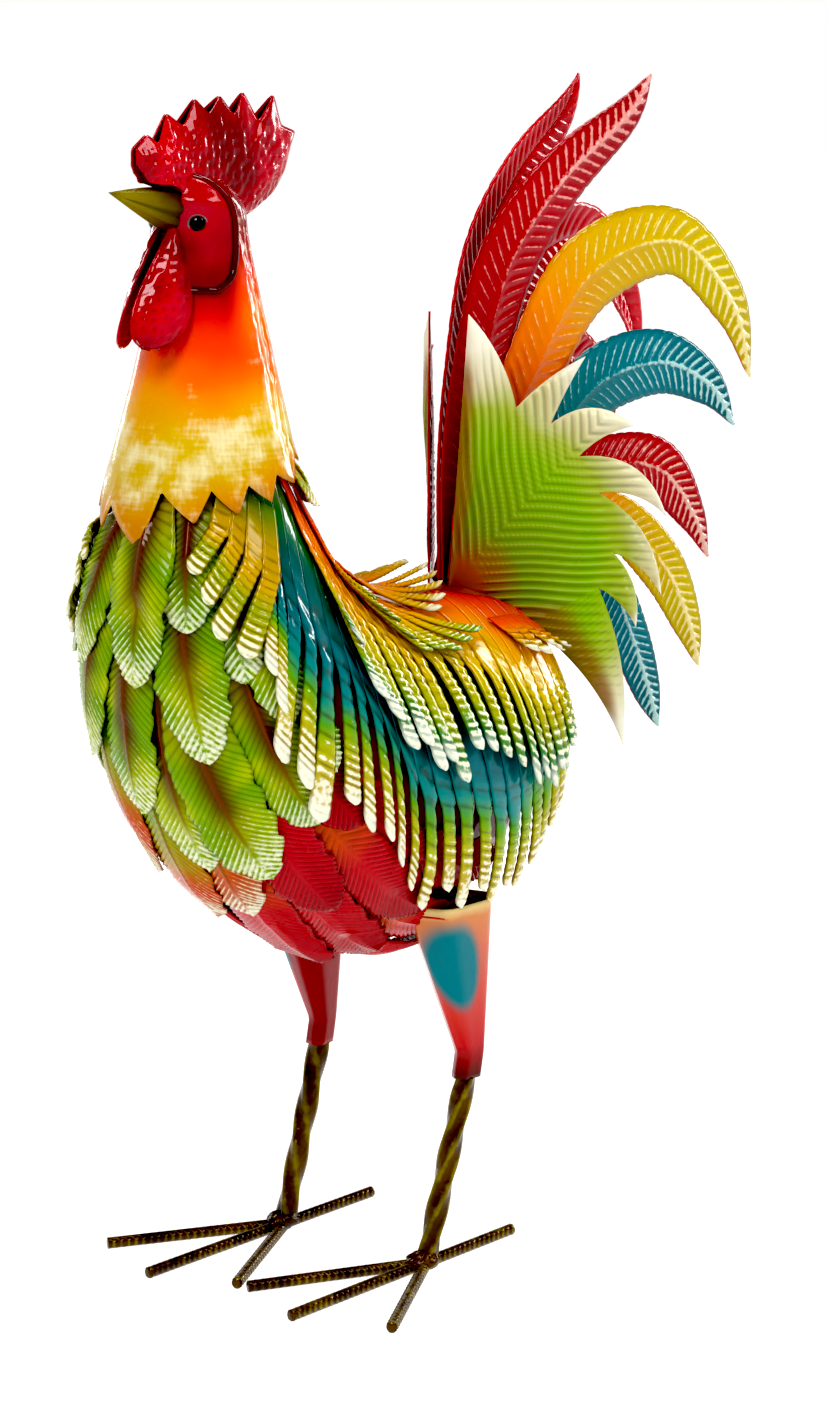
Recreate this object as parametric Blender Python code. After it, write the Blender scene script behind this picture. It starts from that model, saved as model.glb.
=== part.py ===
"""Metal rooster statue: rolled and embossed sheet metal on welded rod feet.

The bird faces -Y, its left side is +X, and it stands on z = 0. The free forms are drawn in units of
HEIGHT / DRAWN_HEIGHT, about a millimetre each. Stock sizes (sheet, rod, bar, gaps) are real lengths.
Plumage is placed on the bird's outer skin by two numbers: a station k along the trunk, from the rump (0)
to the crown, and an angle in degrees around it, 0 on the back, 90 on the left flank, 180 on the breast.
"""
import math

import bmesh
import bpy
import numpy as np
from mathutils.geometry import tessellate_polygon

# Overall
HEIGHT = 0.557
DRAWN_HEIGHT = 557.0
U = HEIGHT / DRAWN_HEIGHT

# Stock
SHEET = 0.0012
TOE_ROD = 0.006
SHANK_BAR = 0.0086
FIT = 0.0003

# Stance
FOOT_SPACING = 0.0905
MIDDLE_TOE = 0.0959
BACK_TOE = 0.0643
SIDE_TOE = 0.090
OUTER_TOE_ANGLE = math.radians(30)
INNER_TOE_ANGLE = math.radians(27.6)
KNEE = (46.7, 29.9, 91.0)
SHANK_TWIST = math.radians(300)

# Trunk and neck, rump to crown: back (y, z), breast (y, z), half width
STATIONS = [
    ((120, 292), (126, 258), 16),
    ((106, 316), (120, 226), 36),
    ((80, 326), (100, 192), 52),
    ((46, 325), (66, 164), 62),
    ((14, 325), (24, 147), 69),
    ((-16, 334), (-20, 147), 70),
    ((-36, 347), (-60, 163), 69),
    ((-47, 360), (-104, 195), 66.5),
    ((-53, 372), (-137, 245), 62),
    ((-56, 383), (-153, 299), 56),
    ((-58, 395), (-152, 346), 49.5),
    ((-62, 412), (-144, 385), 42),
    ((-68, 438), (-130.5, 432), 31.5),
    ((-74, 466), (-122, 468), 24),
    ((-79, 490), (-120, 490), 20.5),
    ((-81, 504), (-121, 505), 19),
    ((-90, 514), (-118, 514), 13.5),
    ((-98, 518), (-111, 518), 5),
]
PROFILE = np.array([[*back, *breast, width] for back, breast, width in STATIONS]) * U

CROWN = len(STATIONS) - 1

# How far the sheet-metal hull lies inside the outer skin of the plumage, on the trunk and under the collar
HULL_INSET = 8 * U
HULL_TUCK = 6 * U
TUCK_STATIONS = (8.4, 10.4)
HULL_STATIONS = (0, 1, 2, 3, 4, 5, 6, 7, 8, 9, 10, 10.7)
HULL_SIDES = 24

# The neck's zigzag hem: angle and station of each notch, then how far the points hang below them
COLLAR_NOTCHES = [(202, 10.75), (161, 10.95), (130, 10.85), (107, 10.75), (85, 10.65), (60, 10.6), (32, 10.6),
                  (2, 10.6), (-28, 10.6), (-56, 10.6), (-82, 10.7), (-106, 10.85), (-130, 10.85)]
COLLAR_TOOTH = 0.45
COLLAR_LEAN = 0.7
COLLAR_TUCK = 2 * U
COLLAR_STATIONS = (12.2, 10.3)
COLLAR_INNER_TOP = 11.1
COLLAR_LOWEST = 10.1
COLLAR_CLEARANCE = 2 * U


def profile(k):
    """The trunk's section at station k, by a smooth curve through the stations."""
    k = np.clip(np.asarray(k, float), 0, CROWN - 1e-6)
    i = np.floor(k).astype(int)
    t = (k - i)[..., None]
    a, b, c, d = (PROFILE[np.clip(i + j, 0, CROWN)] for j in (-1, 0, 1, 2))
    return 0.5 * (2 * b + (c - a) * t + (2 * a - 5 * b + 4 * c - d) * t ** 2 + (3 * b - a - 3 * c + d) * t ** 3)


def bare_skin(k, degrees):
    """A point of the outer skin."""
    p = profile(k)
    angle = np.radians(degrees)
    across, along = np.sin(angle), np.cos(angle)
    y = (p[..., 0] + p[..., 2]) / 2 + (p[..., 0] - p[..., 2]) / 2 * along
    z = (p[..., 1] + p[..., 3]) / 2 + (p[..., 1] - p[..., 3]) / 2 * along
    return np.stack([p[..., 4] * across, y, z], -1)


def skin_normal(k, degrees):
    """The outer skin's normal, pointing outward."""
    step = 0.02
    lengthwise = bare_skin(k + step, degrees) - bare_skin(np.maximum(k - step, 0), degrees)
    around = bare_skin(k, degrees + 1) - bare_skin(k, degrees - 1)
    normal = np.cross(lengthwise, around)
    return normal / np.linalg.norm(normal, axis=-1, keepdims=True)


def skin(k, degrees, lift=0.0):
    """A point lifted off the outer skin along its normal; a negative lift lies inside."""
    k, degrees = np.broadcast_arrays(np.asarray(k, float), np.asarray(degrees, float))
    return bare_skin(k, degrees) + skin_normal(k, degrees) * np.asarray(lift, float)[..., None]


# Materials

def enamel(name, colour, roughness=0.3, metallic=0.35):
    material = bpy.data.materials.new(name)
    material.use_nodes = True
    shader = material.node_tree.nodes["Principled BSDF"]
    shader.inputs["Base Color"].default_value = (*colour, 1)
    shader.inputs["Roughness"].default_value = roughness
    shader.inputs["Metallic"].default_value = metallic
    return material


# Meshes

# Edges that bend more than this are shaded sharp
CREASE = math.radians(35)


def add_object(name, points, faces, material):
    """One named object from points and faces, with its faces turned outward."""
    mesh = bpy.data.meshes.new(name)
    mesh.from_pydata([tuple(p) for p in points], [], faces)
    work = bmesh.new()
    work.from_mesh(mesh)
    bmesh.ops.recalc_face_normals(work, faces=work.faces)
    work.to_mesh(mesh)
    work.free()
    mesh.shade_smooth()
    mesh.set_sharp_from_angle(angle=CREASE)
    mesh.materials.append(material)
    obj = bpy.data.objects.new(name, mesh)
    bpy.context.collection.objects.link(obj)
    return obj


def triangles(faces):
    return [(f[0], f[i], f[i + 1]) for f in faces for i in range(1, len(f) - 1)]


def sheet(name, under, over, faces, material):
    """A closed thin solid between two matching sets of points, walled along its free edges."""
    faces = triangles(faces)
    shift = len(under)
    used = {(f[i], f[(i + 1) % 3]) for f in faces for i in range(3)}
    solid = list(faces)
    solid += [tuple(i + shift for i in reversed(f)) for f in faces]
    solid += [(b, a, a + shift, b + shift) for a, b in used if (b, a) not in used]
    return add_object(name, [*over, *under], solid, material)


def lofted(name, rings, start, end, material):
    """A closed solid through rings of equal count, closed by a point at each end."""
    count = len(rings[0])
    points = [p for ring in rings for p in ring] + [start, end]
    faces = []
    for r in range(len(rings) - 1):
        for i in range(count):
            j = (i + 1) % count
            faces.append((r * count + i, r * count + j, (r + 1) * count + j, (r + 1) * count + i))
    last = (len(rings) - 1) * count
    for i in range(count):
        j = (i + 1) % count
        faces.append((j, i, len(points) - 2))
        faces.append((last + i, last + j, len(points) - 1))
    return add_object(name, points, triangles(faces), material)


def grid_faces(rows, columns):
    return [(r * columns + c, r * columns + c + 1, (r + 1) * columns + c + 1, (r + 1) * columns + c)
            for r in range(rows - 1) for c in range(columns - 1)]


def prism(name, outline, low, high, material):
    """An outline of (y, z) points extruded along X from low to high."""
    count = len(outline)
    points = [(x, y, z) for x in (low, high) for y, z in outline]
    sides = [(i, (i + 1) % count, count + (i + 1) % count, count + i) for i in range(count)]
    return add_object(name, points, sides + [tuple(range(count)), tuple(range(count, 2 * count))], material)


def guide(obj):
    """Marks a cutter, which isn't part of the statue."""
    obj.hide_render = True
    obj.display_type = "WIRE"
    return obj


def boolean(obj, other, operation="DIFFERENCE"):
    modifier = obj.modifiers.new(operation.title(), "BOOLEAN")
    modifier.operation = operation
    modifier.solver = "EXACT"
    modifier.object = other


# Trunk, neck and head

def hull_lift(k):
    """The hull's place under the outer skin: it draws in under the collar."""
    return -HULL_INSET - HULL_TUCK * np.clip((k - TUCK_STATIONS[0]) / (TUCK_STATIONS[1] - TUCK_STATIONS[0]), 0, 1)


def hull(name, material, grow=0.0):
    """The trunk under the feathers, grown outward by the given amount."""
    angles = np.arange(HULL_SIDES) * 360 / HULL_SIDES
    rings = [skin(k, angles, grow + hull_lift(k)) for k in HULL_STATIONS]
    rump = rings[0].mean(axis=0) + np.array([0, 6 * U + grow, 0])
    ceiling = skin(COLLAR_INNER_TOP, angles, neck_lift(COLLAR_INNER_TOP) - SHEET)
    middle = ceiling.mean(axis=0) - np.array([0, 0, 2 * FIT - grow])
    shoulder_share = 0.6
    rings.append(middle + (ceiling - ceiling.mean(axis=0)) * shoulder_share)
    return lofted(name, rings, rump, middle, material)


def collar_edge():
    """Angles and stations along the zigzag hem, notch and point in turn."""
    angles, stations = [], []
    first_angle, first_station = COLLAR_NOTCHES[0]
    closed = [*COLLAR_NOTCHES, (first_angle - 360, first_station)]
    for (angle, station), (next_angle, _) in zip(closed, closed[1:]):
        angles += [angle, angle + (next_angle - angle) * COLLAR_LEAN]
        stations += [station, station - COLLAR_TOOTH]
    return np.array(angles[::-1]), np.array(stations[::-1])


def neck_lift(k):
    """The cone runs straight, so its hem draws in under the swell of the breast."""
    start, end = COLLAR_STATIONS
    return -COLLAR_TUCK * np.clip((start - k) / (start - end), 0, 1)


def neck_solid(name, material, grow=0.0):
    """The rolled cone with its zigzag hem, and the back of the head up to the crown."""
    angles, hem = collar_edge()
    rings = [skin(COLLAR_INNER_TOP, angles, neck_lift(COLLAR_INNER_TOP) - SHEET)]
    rings.append(skin(hem, angles, neck_lift(hem) - SHEET))
    rings.append(skin(hem, angles, neck_lift(hem) + grow))
    rings += [skin(k, angles, neck_lift(k) + grow) for k in (11.2, 12, 13, 14, 15, 15.7, 16.3, 16.8)]
    inner_top = rings[0].mean(axis=0)
    crown = rings[-1].mean(axis=0) + np.array([0, 0, U + grow])
    return lofted(name, rings, inner_top, crown, material)


# The red mask covers the front of the head: its edge in (y, z), from the crown down and forward
MASK_EDGE = [(-110, 530), (-108, 515), (-101, 506), (-97, 496), (-96, 484), (-98, 474), (-103, 469),
             (-112, 468), (-160, 468), (-160, 530)]
MASK_LIFT = SHEET + FIT


def mask_block(name, material, grow=0.0):
    outline = np.array(MASK_EDGE) * U
    middle = outline.mean(axis=0)
    away = outline - middle
    outline = outline + away / np.linalg.norm(away, axis=1, keepdims=True) * grow
    return guide(prism(name, outline, -40 * U, 40 * U, material))


def head_solid(name, material, grow=0.0):
    """The front of the head: the skin from the throat to the crown, proud of the neck by the mask's sheet."""
    angles = np.arange(20) * 18.0
    stations = (12.7, 13.3, 14, 14.7, 15.3, 15.8, 16.3, 16.8)
    rings = [skin(k, angles, MASK_LIFT + grow) for k in stations]
    base = rings[0].mean(axis=0)
    crown = rings[-1].mean(axis=0) + np.array([0, 0, U + MASK_LIFT + grow])
    return lofted(name, rings, base, crown, material)


BEAK_TIP = (0, -157.6, 512.0)
BEAK_ROOT_Y = -112
BEAK_ROOT = [(0, 513), (8.5, 509.5), (10.5, 503), (6.5, 494), (0, 490), (-6.5, 494), (-10.5, 503), (-8.5, 509.5)]


def beak_solid(name, material, grow=0.0):
    """A tapered beak with a ridge along each side, its root let into the face."""
    tip = np.array(BEAK_TIP) * U
    ring = np.array([(x, BEAK_ROOT_Y, z) for x, z in BEAK_ROOT]) * U
    away = ring - ring.mean(axis=0)
    ring = ring + away / np.linalg.norm(away, axis=1, keepdims=True) * grow
    half_way = ring + (tip - ring) * 0.45
    near_tip = ring + (tip - ring) * 0.93
    return lofted(name, [ring, half_way, near_tip], ring.mean(axis=0), tip, material)


EYE_RADIUS = 4.2 * U
EYE_ANGLE = 40
EYE_STATION = 14.45


def eye(name, side, material):
    """A domed button on the mask, its back cut to the mask's shape."""
    seat = skin(EYE_STATION, 180 - side * EYE_ANGLE, MASK_LIFT)
    outward = skin(EYE_STATION, 180 - side * EYE_ANGLE, MASK_LIFT + 0.001) - seat
    outward /= np.linalg.norm(outward)
    level = np.cross(outward, (0, 0, 1))
    level /= np.linalg.norm(level)
    up = np.cross(level, outward)
    rings = []
    for depth, share in ((-2.5, 1), (0.7, 1), (1.9, 0.7)):
        turn = np.radians(np.arange(10) * 36)
        rings.append([seat + outward * depth * U + EYE_RADIUS * share * (level * np.cos(a) + up * np.sin(a))
                      for a in turn])
    return lofted(name, rings, seat - outward * 2.5 * U, seat + outward * 2.4 * U, material)


# Comb: a column per point and notch, front to back: base (y, z), top (y, z), how far the top stands off centre
COMB_COLUMNS = [
    ((-136, 515.5), (-142, 523), 1.6),
    ((-134, 515), (-142, 530), 1.4),
    ((-131, 514.5), (-134, 536), 0.8),
    ((-128, 514.5), (-129, 532), 2.6),
    ((-124, 513.5), (-122, 545), 0.5),
    ((-119, 511), (-114, 539), 3.2),
    ((-115, 511), (-104, 551), 0.5),
    ((-110, 510), (-98, 544), 3.4),
    ((-106, 509), (-88, 552), 0.5),
    ((-102, 507), (-82, 543), 3.4),
    ((-99, 505), (-73, 553.5), 0.5),
    ((-95, 503), (-66, 540), 3.2),
    ((-92, 501), (-53, 552), 0.5),
    ((-90, 500), (-50, 538), 2.2),
    ((-88, 499), (-39, 535), 0.8),
    ((-87, 498), (-45, 525), 1.4),
    ((-86, 497), (-53, 514), 1.6),
    ((-85, 496), (-60, 506), 1.6),
    ((-84, 495), (-71, 500), 1.6),
]
COMB_BULGE = 7.5


def comb_half(name, side, material):
    """One dished sheet of the comb: it stands off the middle at its foot and closes at its points."""
    rows = (0.0, 0.4, 0.75, 1.0)
    edge_taper = (0.3, 0.55, 0.8, 1)
    points = []
    for row in rows:
        for column, (base, top, stand_off) in enumerate(COMB_COLUMNS):
            from_end = min(column, len(COMB_COLUMNS) - 1 - column)
            full = COMB_BULGE * edge_taper[min(from_end, 3)]
            y, z = (1 - row) * np.array(base) + row * np.array(top)
            x = stand_off + (full - stand_off) * (1 - row ** 2.4)
            points.append((x * U, y * U, z * U))
    points = np.array(points)
    inner = points.copy()
    inner[:, 0] = np.maximum(points[:, 0], FIT / 2)
    outer = inner + np.array([SHEET, 0, 0])
    mirror = np.array([side, 1, 1])
    return sheet(name, inner * mirror, outer * mirror, grid_faces(len(rows), len(COMB_COLUMNS)), material)


WATTLE_TOP = (3.0, -121.5, 498.0)
WATTLE_FALL = (6.1, -19.5, -53.5)
WATTLE_HALF_WIDTH = 14.0
WATTLE_SPLAY = math.radians(25)
WATTLE_DISH = 4.5


def wattle(name, side, material):
    """A dished drop that hangs forward from the throat and swings outward."""
    across = np.array([math.sin(WATTLE_SPLAY), math.cos(WATTLE_SPLAY), 0])
    fall = np.array(WATTLE_FALL)
    outward = np.cross(fall, across)
    outward /= np.linalg.norm(outward)
    levels = np.array([0.02, 0.16, 0.36, 0.58, 0.8, 0.94, 0.995])
    shares = np.array([-1, -0.5, 0, 0.5, 1])
    points = []
    for t in levels:
        half = WATTLE_HALF_WIDTH * math.sin(math.pi * t ** 2.1) ** 0.4
        swell = math.sin(math.pi * min(t, 0.98)) ** 0.5
        for share in shares:
            dish = WATTLE_DISH * (1 - share ** 2) * swell
            points.append(np.array(WATTLE_TOP) + fall * t + across * (half * share + 1.5 * swell) + outward * dish)
    points = np.array(points) * U
    mirror = np.array([side, 1, 1])
    faces = grid_faces(len(levels), len(shares))
    return sheet(name, points * mirror, (points + outward * SHEET) * mirror, faces, material)


# The plumage is laid from the inside out, and each sheet rests on what it covers

LAY_GAP = 1.5 * FIT
STATION_CELL = 0.1
ANGLE_CELL = 3.0
SPREAD = 10
LAY_PASSES = 12
LAY_STEP = 0.35
WEIGHTS = np.array([(i, j, SPREAD - i - j) for i in range(SPREAD + 1) for j in range(SPREAD + 1 - i)]) / SPREAD


def spread(values, faces):
    """Values read at points spread over each triangle."""
    return np.einsum("sc,fcx->fsx", WEIGHTS, values[faces])


class Cover:
    """How high the plumage laid so far stands over the outer skin, by station and angle."""

    def __init__(self):
        stations = np.arange(0, COLLAR_INNER_TOP + 1, STATION_CELL)
        self.heights = np.repeat(hull_lift(stations)[:, None], round(360 / ANGLE_CELL), axis=1)

    def cells(self, spots):
        rows = np.rint(spots[..., 0] / STATION_CELL).astype(int)
        columns = np.rint(spots[..., 1] / ANGLE_CELL).astype(int)
        return np.clip(rows, 0, len(self.heights) - 1), columns % self.heights.shape[1]

    def floor(self, spots):
        """The highest cover in the cells round each spot."""
        widest = self.heights
        for shift in (-1, 1):
            widest = np.maximum(widest, np.roll(self.heights, shift, axis=1))
        padded = np.pad(widest, ((1, 1), (0, 0)), mode="edge")
        widest = np.maximum(np.maximum(padded[:-2], padded[1:-1]), padded[2:])
        return widest[self.cells(spots)]

    def lay(self, places, heights, faces):
        """Raises a sheet's corners until it clears what it covers, then counts it as cover."""
        pull = WEIGHTS / (WEIGHTS ** 2).sum(axis=1, keepdims=True)
        faces = np.array(triangles(faces))
        spots = spread(places, faces)
        stations, angles = spots[..., 0], spots[..., 1]
        base, normal = bare_skin(stations, angles), skin_normal(stations, angles)
        floor = self.floor(spots) + LAY_GAP
        for _ in range(LAY_PASSES):
            under = spread(skin(*places.T, heights), faces)
            short = floor - ((under - base) * normal).sum(-1)
            lack = np.zeros(len(heights))
            np.maximum.at(lack, faces, (short[..., None] * pull).max(axis=1))
            heights = heights + lack * LAY_STEP
        over = spread(skin(*places.T, heights + SHEET), faces)
        np.maximum.at(self.heights, self.cells(spots), ((over - base) * normal).sum(-1))
        return heights


# Fringed sheets and rows of feathers

LEAF = ((0.4, 1.0), (0.78, 0.8), (1.0, 0.25))
FINGER = ((0.55, 0.85), (1.0, 0.45))
LEAF_RIDGE = 0.8 * U
RISE = 1.1
# The welded edges' height over the hull
ROOT_STAND = 1.2 * U


def fringe(name, cover, roots, tips, tip_lifts, notch, material, leaf=False, side=1):
    """A strip of sheet whose free edge is cut into fingers, or into leaves that are creased down the middle.

    roots is the welded edge, as (k, degrees) points, and tips are the blades' ends in the same order.
    tip_lifts are the tips' heights over the outer skin, in drawing units, from one end of the row to the other.
    notch is the share of the length, from root to tip, at which the blades part.
    """
    tips = np.array(tips, float)
    roots = np.array(roots, float)
    count = len(tips)
    parts = 2 if leaf else 1
    columns = np.linspace(0, 1, count * parts + 1)
    run = np.linspace(0, 1, len(roots))
    root_line = np.stack([np.interp(columns, run, roots[:, i]) for i in (0, 1)], -1)
    bounds = np.vstack([tips[0] * 1.5 - tips[1] * 0.5, (tips[:-1] + tips[1:]) / 2, tips[-1] * 1.5 - tips[-2] * 0.5])
    tip_line = np.stack([np.interp(columns, np.linspace(0, 1, count + 1), bounds[:, i]) for i in (0, 1)], -1)
    notch_line = root_line * (1 - notch) + tip_line * notch
    lifts = np.interp(columns, np.linspace(0, 1, len(tip_lifts)), tip_lifts) * U
    root_lift = hull_lift(root_line[:, 0]) + ROOT_STAND
    crease = np.where(np.arange(len(columns)) % 2 == 1, LEAF_RIDGE, 0.0) if leaf else np.zeros(len(columns))
    places, heights = [], []
    for share in (0.0, 0.5, 1.0):
        places += list(root_line * (1 - share) + notch_line * share)
        heights += list(root_lift + (lifts - root_lift) * (notch * share) ** RISE + crease * share)
    faces = grid_faces(3, len(columns))
    for i in range(count):
        span = np.arange(i * parts, (i + 1) * parts + 1)
        last_row = list(2 * len(columns) + span)
        middle = (notch_line[span[0]] + notch_line[span[-1]]) / 2
        half = (notch_line[span[-1]] - notch_line[span[0]]) / 2
        low = root_lift[span].mean()
        height = lifts[span].mean() - low
        for share, width in LEAF if leaf else FINGER:
            centre = middle * (1 - share) + tips[i] * share
            row = []
            for across in np.linspace(-1, 1, parts + 1):
                row.append(len(places))
                places.append(centre + half * width * across)
                ridge = LEAF_RIDGE * (1 - abs(across)) if leaf else 0
                heights.append(low + height * (notch + (1 - notch) * share) ** RISE + ridge)
            faces += [(last_row[j], last_row[j + 1], row[j + 1], row[j]) for j in range(parts)]
            last_row = row
    places = np.array(places) * (1, side)
    tucked = neck_lift(places[:, 0]) - 2 * SHEET - COLLAR_CLEARANCE
    heights = np.where(places[:, 0] > COLLAR_LOWEST, np.minimum(heights, tucked), heights)
    heights = cover.lay(places, heights, faces)
    return sheet(name, skin(*places.T, heights), skin(*places.T, heights + SHEET), faces, material)


# Rows of leaf feathers around the trunk, outermost first: welded edge's station, its first and last angle,
# the tips as (k, degrees), the tips' heights over the outer skin, and the share of the length before the
# feathers part
FEATHER_ROWS = [
    ("breast_feathers_1", 11.0, (114, 246), [(9.5, 124), (9.4, 142), (8.95, 173), (8.9, 217), (9.3, 238)],
     (-7, -6, 0, 3.5, 0, -6, -7), 0.3),
    ("breast_feathers_2", 10.1, (108, 252), [(8.6, 124), (8.15, 147), (8.7, 181), (8.1, 214), (8.6, 236)],
     (-4, 2, 2.5, 2.5, 2.5, 2, -4), 0.35),
    ("breast_feathers_3", 9.3, (104, 256), [(7.9, 111), (7.75, 130), (7.5, 158), (7.8, 186), (7.5, 212), (7.8, 240)],
     (-4, 1.5, 2, 2, 2, 1.5, -4), 0.35),
    ("breast_feathers_4", 8.4, (100, 260), [(7.1, 107), (6.95, 122), (6.9, 146), (7.1, 178), (6.9, 207), (7.0, 238)],
     (-4, 1.5, 1.5, 1.5, 1.5, 1.5, -4), 0.35),
    ("breast_feathers_5", 7.6, (100, 260), [(6.5, 112), (6.4, 135), (6.4, 160), (6.55, 182), (6.4, 208), (6.5, 238)],
     (-5, 1, 1, 1, 1, 1, -5), 0.4),
    ("belly_feathers_1", 6.8, (98, 262), [(5.2, 108), (5.0, 131), (5.0, 156), (5.1, 180), (5.0, 206), (5.2, 238)],
     (-5, 1, 1, 1, 1, 1, -5), 0.4),
    ("belly_feathers_2", 5.6, (102, 258), [(3.7, 118), (3.5, 145), (3.4, 168), (3.4, 192), (3.5, 215), (3.7, 242)],
     (-5, 1, 1, 1, 1, 1, -5), 0.4),
]

# Fringed sheets of one side, innermost first: welded edge as (k, degrees), tips in the same order, the tips'
# heights over the outer skin, and the share of the length before they part
SIDE_SHEETS = [
    ("mantle", [(10.9, 100), (10.2, 81), (8.6, 52), (6.0, 38), (3.5, 38), (1.8, 50), (0.8, 60)],
     [(8.9, 121), (8.5, 114), (7.75, 124), (7.35, 122), (7.05, 124), (6.7, 111), (6.35, 112), (6.0, 112),
      (5.7, 116), (5.35, 121), (4.9, 128), (4.4, 120), (4.1, 127), (3.75, 130), (3.35, 131), (3.0, 126),
      (2.5, 124), (2.0, 120)], (4, 4, 4, 4, 9, 10, 6), 0.55),
    ("wing", [(10.6, 62), (9.6, 40), (8.0, 20), (6.5, 6), (4.5, 2.5), (3.1, 3), (2.7, 20), (2.1, 33), (1.5, 43)],
     [(7.2, 69), (6.6, 76), (5.8, 83), (5.2, 85), (4.75, 88), (4.45, 79), (3.85, 82), (3.3, 96), (2.95, 103),
      (2.5, 104), (2.0, 104)], (5, 6, 7, 11, 8), 0.5),
    ("shoulder", [(10.5, 50), (9.8, 37), (8.2, 24), (6.8, 16)],
     [(6.05, 45), (5.5, 48), (4.9, 51), (4.2, 48), (3.55, 45)], (5, 6), 0.5),
    ("saddle", [(9.0, 14), (7.6, 8), (6.6, 4)],
     [(3.8, 30), (3.3, 20), (3.1, 7)], (4.5, 4.5), 0.45),
    ("rump", [(2.9, 40), (2.3, 44), (1.8, 52)],
     [(2.45, 62), (2.0, 66), (1.6, 70)], (7, 7), 0.5),
    ("hackle", [(10.9, 146), (10.9, 135), (10.85, 123), (10.8, 113)],
     [(9.95, 141), (9.6, 134), (9.2, 130), (9.0, 123)], (-3, 0, 3, 4), 0.25),
]
# The row of leaf feathers on the back, over the side sheets
NAPE = ([(10.6, -56), (10.6, 0), (10.6, 56)], [(9.0, -44), (8.3, -24), (7.9, 0), (8.3, 24), (9.0, 44)],
        (3, 1.5, 3), 0.3)


# Tail

TAIL_ROOT = (66.0, 318.0)
PLUME_SPLAY = (8.6, 8.6, 9.6, 10.8, 12, 13.2)
PLUME_PITCH = 2.1
# Plumes of one side from the middle outward: spine from the root as (back, up) points in the plume's own
# upright plane, and the half width along it. PLUME_SPLAY is in degrees, in the same order
PLUMES = [
    ("sickle", [(4, 318), (10, 370), (20, 414), (38, 468), (74, 508), (118, 538), (134, 557)],
     [6, 13, 17, 18.8, 15.3, 8.9, 0.8]),
    ("arched", [(5, 318), (18, 360), (46, 405), (87, 460), (148, 475), (190, 442), (205, 404)],
     [6, 12, 18, 21, 16.7, 12, 0.8]),
    ("teal", [(6, 317), (26, 350), (59, 380), (92, 408), (135, 416), (170, 402), (188, 381)],
     [6, 9, 13.5, 17.9, 16.2, 10.5, 0.8]),
    ("small_red", [(8, 316), (24, 340), (52, 357), (90, 369), (130, 363), (154, 338), (165, 316)],
     [5, 8, 10, 13, 15.6, 9, 0.8]),
    ("small_amber", [(11, 315), (26, 336), (59, 350), (98, 341), (129, 315), (147, 284), (154, 262)],
     [5, 8, 10, 13, 13.7, 9, 0.8]),
    ("small_teal", [(14, 314), (28, 332), (58, 338), (88, 314), (104, 283), (116, 254), (123, 235)],
     [5, 7, 8, 11, 12, 8.5, 0.8]),
]
PLUME_FOLD = 0.13
PLUME_FOLD_START = 0.2

FAN_SPLAY = math.radians(41)
FAN_OFFSET = 8.0
FAN_START = (-4, 316)
# Seven fingers of the fan: tip, the notch after it, and how far each edge bows out as a share of its length
FAN_FINGERS = [
    ((5.5, 447), (29, 402), 0.0, 0.07),
    ((63, 426), (46, 394), 0.05, -0.02),
    ((87, 392), (60, 378), 0.2, -0.08),
    ((103.5, 348), (70, 360), 0.2, -0.12),
    ((101.5, 309), (77, 331), 0.14, -0.1),
    ((89, 294), (70, 314), 0.13, -0.08),
    ((83, 236), (18, 316), 0.07, -0.1),
]


def smooth_row(values, steps):
    """Rows of numbers read from a smooth curve through the given ones."""
    values = np.array(values, float)
    last = len(values) - 1
    k = np.linspace(0, last, steps)
    i = np.minimum(np.floor(k).astype(int), last - 1)
    t = (k - i)[:, None]
    a, b, c, d = (values[np.clip(i + j, 0, last)] for j in (-1, 0, 1, 2))
    return 0.5 * (2 * b + (c - a) * t + (2 * a - 5 * b + 4 * c - d) * t ** 2 + (3 * b - a - 3 * c + d) * t ** 3)


def plane_point(back, up, off, offset, splay):
    """A point of an upright plane that swings out from the tail's root, off it by off."""
    root_y = TAIL_ROOT[0]
    x = offset + back * math.sin(splay) + off * math.cos(splay)
    y = root_y + back * math.cos(splay) - off * math.sin(splay)
    return np.array([x, y, up]) * U


def plume(name, side, level, spine, widths, material):
    """A long feather, folded along its midrib."""
    steps = 10
    splay = math.radians(PLUME_SPLAY[level])
    curve = smooth_row([(*p, w) for p, w in zip(spine, widths)], steps)
    heading = np.gradient(curve[:, :2], axis=0)
    heading /= np.linalg.norm(heading, axis=1, keepdims=True)
    offset = 1 + level * PLUME_PITCH
    points, lifted = [], []
    for step, ((back, up, half), (dx, dz)) in enumerate(zip(curve, heading)):
        folded = min(1, max(0, step / (steps - 1) - PLUME_FOLD_START) * 4)
        for share in (-1, 0, 1):
            off = half * PLUME_FOLD * folded * (1 - abs(share))
            place = (back - dz * half * share, up + dx * half * share)
            points.append(plane_point(*place, off, offset, splay))
            lifted.append(plane_point(*place, off + SHEET / U, offset, splay))
    mirror = np.array([side, 1, 1])
    return sheet(name, np.array(points) * mirror, np.array(lifted) * mirror, grid_faces(steps, 3), material)


def bowed(start, end, bow, steps=4):
    """Points from start to end along an arc that bows to the left of its travel, without the last."""
    start, end = np.array(start, float), np.array(end, float)
    travel = end - start
    control = (start + end) / 2 + 2 * bow * np.array([-travel[1], travel[0]])
    t = np.arange(steps)[:, None] / steps
    return list((1 - t) ** 2 * start + 2 * t * (1 - t) * control + t ** 2 * end)


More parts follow.
